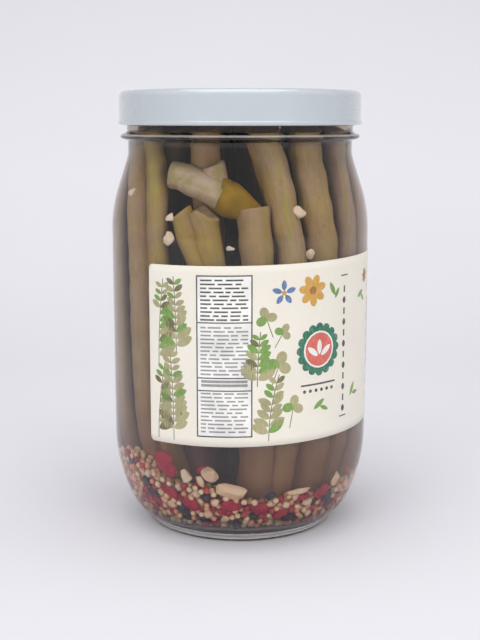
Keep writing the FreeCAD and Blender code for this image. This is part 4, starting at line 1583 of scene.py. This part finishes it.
class JAR_OT_spices(bpy.types.Operator):
    """Settle garlic, red pepper, mustard seeds and peppercorns on the floor"""

    bl_idname = "bean_jar.spices"
    bl_label = "Garlic and spices"

    def lay_pulp(self, shape, colour):
        """The soft red bed that the seeds by the glass lie on."""
        angles = np.linspace(0, 360, 181)[:-1]
        centre, radius, _ = shape.inner_heel(shape.jar.wall)
        low, bend, radius = PULP_FLOOR, np.linspace(-QUARTER, -0.7, 7), radius - PULP_CLEAR
        heel = [(centre[0] * 0.5, low), *zip(centre[0] + radius * np.cos(bend),
                                             centre[1] + radius * np.sin(bend))]
        columns = []
        for angle in angles:
            top = (bank(angle) - 4.5) * MM
            heights = np.linspace(low + 0.5 * MM, top, 8)
            wall = shape.inner(heights) - PULP_CLEAR
            columns.append(heel + list(zip(wall, heights)) + [
                (wall[-1] * part, top + 1.5 * MM * (1 - part)) for part in (0.86, 0.6, 0.3)])
        rings = len(columns[0])
        points = np.array([place(angle, height, reach) for angle, column in zip(angles, columns)
                           for reach, height in column])
        lumps = np.array([noise.noise(Vector(p) * 420) + 0.6 * noise.noise(Vector(p) * 1100)
                          for p in points])
        points[:, :2] *= (1 + 0.022 * lumps)[:, None]
        points[:, 2] += np.where(points[:, 2] > low + 2 * MM, lumps * 0.9 * MM, 0)
        bottom, middle = len(points), len(points) + 1
        points = np.concatenate([points, [[0, 0, low], [0, 0, 2 * low]]])
        faces, here = [], np.arange(rings - 1)
        for k in range(len(angles)):
            first, ahead = k * rings, (k + 1) % len(angles) * rings
            faces += np.stack([first + here, ahead + here, ahead + here + 1, first + here + 1],
                              1).tolist()
            faces += [[first, bottom, ahead], [first + rings - 1, ahead + rings - 1, middle]]
        piece = build("settled_pulp", points, faces)
        dress(piece, soft_flesh("settled_pulp", colour, display(208, 88, 94), 420))
        seat(piece, "brine")

    def execute(self, context):
        spice, jar = context.scene.spice_settings, context.scene.jar_glass_settings
        shape = JarShape(jar)
        rng = np.random.default_rng(spice.seed)
        settled = Settled(shape, rng)
        round_form, round_faces = ball(4)
        for spots, name, flatness, uneven, light, dark in (
                (GARLIC, "garlic_slices", 0.85, 0.16, tuple(spice.garlic),
                 display(250, 216, 176)),
                (CRIMSON, "red_pepper_pieces", 0.85, 0.16, tuple(spice.red_pepper),
                 display(164, 2, 58)),
                (BLACK, "peppercorns_at_the_glass", 1.0, 0.16, tuple(spice.peppercorn),
                 display(40, 36, 56)),
                (CLINGING, "garlic_crumbs", 0.9, 0.32, display(255, 240, 232),
                 display(248, 222, 196))):
            heap = Heap()
            for spot in spots:
                points = lying(shape, spot, flatness, round_form, rng, uneven)
                heap.add(points, round_faces, tone=rng.uniform(0, 1))
                settled.take_lying(spot, points)
            piece = heap.piece(name)
            dress(piece, soft_flesh(name, light, dark, 260))
            seat(piece, "brine")

        self.lay_pulp(shape, tuple(spice.pulp))
        small_form, small_faces = ball(3)
        for name, number, radius, depth, unevenness, coat in (
                ("peppercorns", spice.pepper, 2.0 * MM, 4 * MM, 0.22,
                 seed_coat("peppercorn_husk", display(64, 62, 74), display(44, 40, 52),
                           display(92, 84, 84), 700)),
                ("carrot_bits", 26, 1.5 * MM, 3 * MM, 0.3,
                 seed_coat("carrot_flesh", display(236, 150, 50), display(214, 116, 34),
                           display(240, 178, 90), 500)),
                ("garlic_bits", 90, 1.55 * MM, 2.5 * MM, 0.4,
                 seed_coat("garlic_bit_flesh", display(255, 240, 214), display(255, 222, 190),
                           display(246, 200, 176), 300)),
                ("red_pepper_crumbs", 200, 1.25 * MM, 3 * MM, 0.4,
                 seed_coat("red_pepper_skin", display(220, 40, 76), display(180, 24, 66),
                           display(212, 92, 92), 500))):
            heap = Heap()
            for spot, size in settled.scatter(number, radius, depth, squeeze=0.95):
                points = rough(small_form, 2.4, unevenness, rng.uniform(0, 90))
                squash = rng.uniform(0.82, 1.0, 3)
                heap.add(spot + (points * squash * size) @ spun(rng).T, small_faces,
                         tone=rng.uniform(0, 1))
            piece = heap.piece(name)
            dress(piece, coat)
            seat(piece, "brine")

        heap = Heap()
        seed_form, seed_faces = ball(2)
        radius = spice.mustard_size / 2
        on_floor = settled.scatter(240, radius, 14 * MM, high=0.08, squeeze=0.86, tries=30)
        for spot, size in on_floor + settled.scatter(spice.mustard, radius, 8 * MM,
                                                     squeeze=0.86):
            squash = rng.uniform(0.88, 1.0, 3)
            heap.add(spot + (seed_form * squash * size) @ spun(rng).T, seed_faces,
                     tone=rng.uniform(0, 1))
        piece = heap.piece("mustard_seeds")
        dress(piece, seed_coat("mustard_coat", tuple(spice.mustard_colour),
                               display(255, 222, 172), display(248, 162, 128), 900))
        seat(piece, "brine")
        return {"FINISHED"}


# --------------------------------------------------------------------------- stage


# The sweep, in metres: floor from front to back, bend, and upright part.
SWEEP_FRONT, SWEEP_BACK, SWEEP_BEND, SWEEP_TOP, SWEEP_HALF = -1.6, 0.75, 0.5, 2.6, 2.4


class JAR_OT_stage(bpy.types.Operator):
    """Set up the pale sweep, the soft light and the camera"""

    bl_idname = "bean_jar.stage"
    bl_label = "Stage"

    def execute(self, context):
        stage = context.scene.stage_settings
        start = SWEEP_BACK - SWEEP_BEND
        profile = [(SWEEP_FRONT, 0.0), (start, 0.0)]
        profile += [(start + SWEEP_BEND * math.sin(a), SWEEP_BEND * (1 - math.cos(a)))
                    for a in np.linspace(0, QUARTER, 24)[1:]]
        profile.append((SWEEP_BACK, SWEEP_TOP))
        points = [(x, y, z) for x in (-SWEEP_HALF, SWEEP_HALF) for y, z in profile]
        n = len(profile)
        faces = [[k, n + k, n + k + 1, k + 1] for k in range(n - 1)]
        sweep = build("studio_sweep", points, faces)
        dress(sweep, studio_sweep(tuple(stage.floor_colour)))

        world = bpy.data.worlds.new("soft_room")
        context.scene.world = world
        world.use_nodes = True
        background = world.node_tree.nodes["Background"].inputs
        background["Color"].default_value = (*stage.room_colour, 1)
        background["Strength"].default_value = stage.room_light

        # Each lamp: name, place, the point it is turned to, width, power, whether it is mirrored.
        for name, spot, aim, width, power, mirrored in (
                ("overhead_box", (0, -0.15, 0.95), (0, 0, 0.08), 0.9, stage.overhead_power, True),
                ("left_fill", (-0.8, -0.9, 0.30), (0, 0, 0.06), 0.7, stage.fill_power, False),
                ("right_fill", (0.8, -0.9, 0.30), (0, 0, 0.06), 0.7, stage.fill_power, False)):
            lamp = bpy.data.lights.new(name, "AREA")
            lamp.shape, lamp.size, lamp.energy = "SQUARE", width, power
            holder = bpy.data.objects.new(name, lamp)
            holder.location = spot
            holder.rotation_euler = (Vector(aim) - Vector(spot)).to_track_quat(
                "-Z", "Y").to_euler()
            holder.visible_glossy = holder.visible_transmission = mirrored
            context.scene.collection.objects.link(holder)

        camera = bpy.data.cameras.new("camera")
        camera.lens, camera.sensor_width = stage.lens, 36.0
        camera.clip_start = 10 * MM
        viewer = bpy.data.objects.new("camera", camera)
        viewer.location = (0, -stage.camera_distance, stage.camera_height)
        viewer.rotation_euler = (QUARTER - stage.camera_pitch, 0, 0)
        context.scene.collection.objects.link(viewer)
        context.scene.camera = viewer
        context.scene.view_settings.view_transform = "Standard"
        return {"FINISHED"}


class JAR_PT_panel(bpy.types.Panel):
    """Sizes, colours and the steps that make the jar"""

    bl_idname = "JAR_PT_panel"
    bl_label = "Pickled green bean jar"
    bl_space_type = "VIEW_3D"
    bl_region_type = "UI"
    bl_category = "Bean jar"

    def draw(self, context):
        for operator in OPERATORS:
            self.layout.operator(operator.bl_idname)
        for name in SETTINGS:
            box = self.layout.box()
            settings = getattr(context.scene, name)
            for prop in settings.bl_rna.properties:
                if not prop.is_readonly and prop.identifier != "name":
                    box.prop(settings, prop.identifier)


SETTINGS = {
    "jar_glass_settings": JarGlassSettings,
    "lid_settings": LidSettings,
    "label_settings": LabelSettings,
    "brine_settings": BrineSettings,
    "bean_settings": BeanSettings,
    "spice_settings": SpiceSettings,
    "stage_settings": StageSettings,
}
OPERATORS = [JAR_OT_glass, JAR_OT_lid, JAR_OT_label, JAR_OT_print, JAR_OT_brine, JAR_OT_beans,
             JAR_OT_spices, JAR_OT_stage]


def register():
    for group in SETTINGS.values():
        bpy.utils.register_class(group)
    for name, group in SETTINGS.items():
        setattr(bpy.types.Scene, name, PointerProperty(type=group))
    for operator in OPERATORS:
        bpy.utils.register_class(operator)
    bpy.utils.register_class(JAR_PT_panel)


def unregister():
    bpy.utils.unregister_class(JAR_PT_panel)
    for operator in reversed(OPERATORS):
        bpy.utils.unregister_class(operator)
    for name in SETTINGS:
        delattr(bpy.types.Scene, name)
    for group in reversed(SETTINGS.values()):
        bpy.utils.unregister_class(group)


def main():
    register()
    bpy.ops.bean_jar.glass()
    bpy.ops.bean_jar.lid()
    bpy.ops.bean_jar.label()
    bpy.ops.bean_jar.print()
    bpy.ops.bean_jar.brine()
    bpy.ops.bean_jar.beans()
    bpy.ops.bean_jar.spices()
    bpy.ops.bean_jar.stage()


if __name__ == "__main__":
    main()
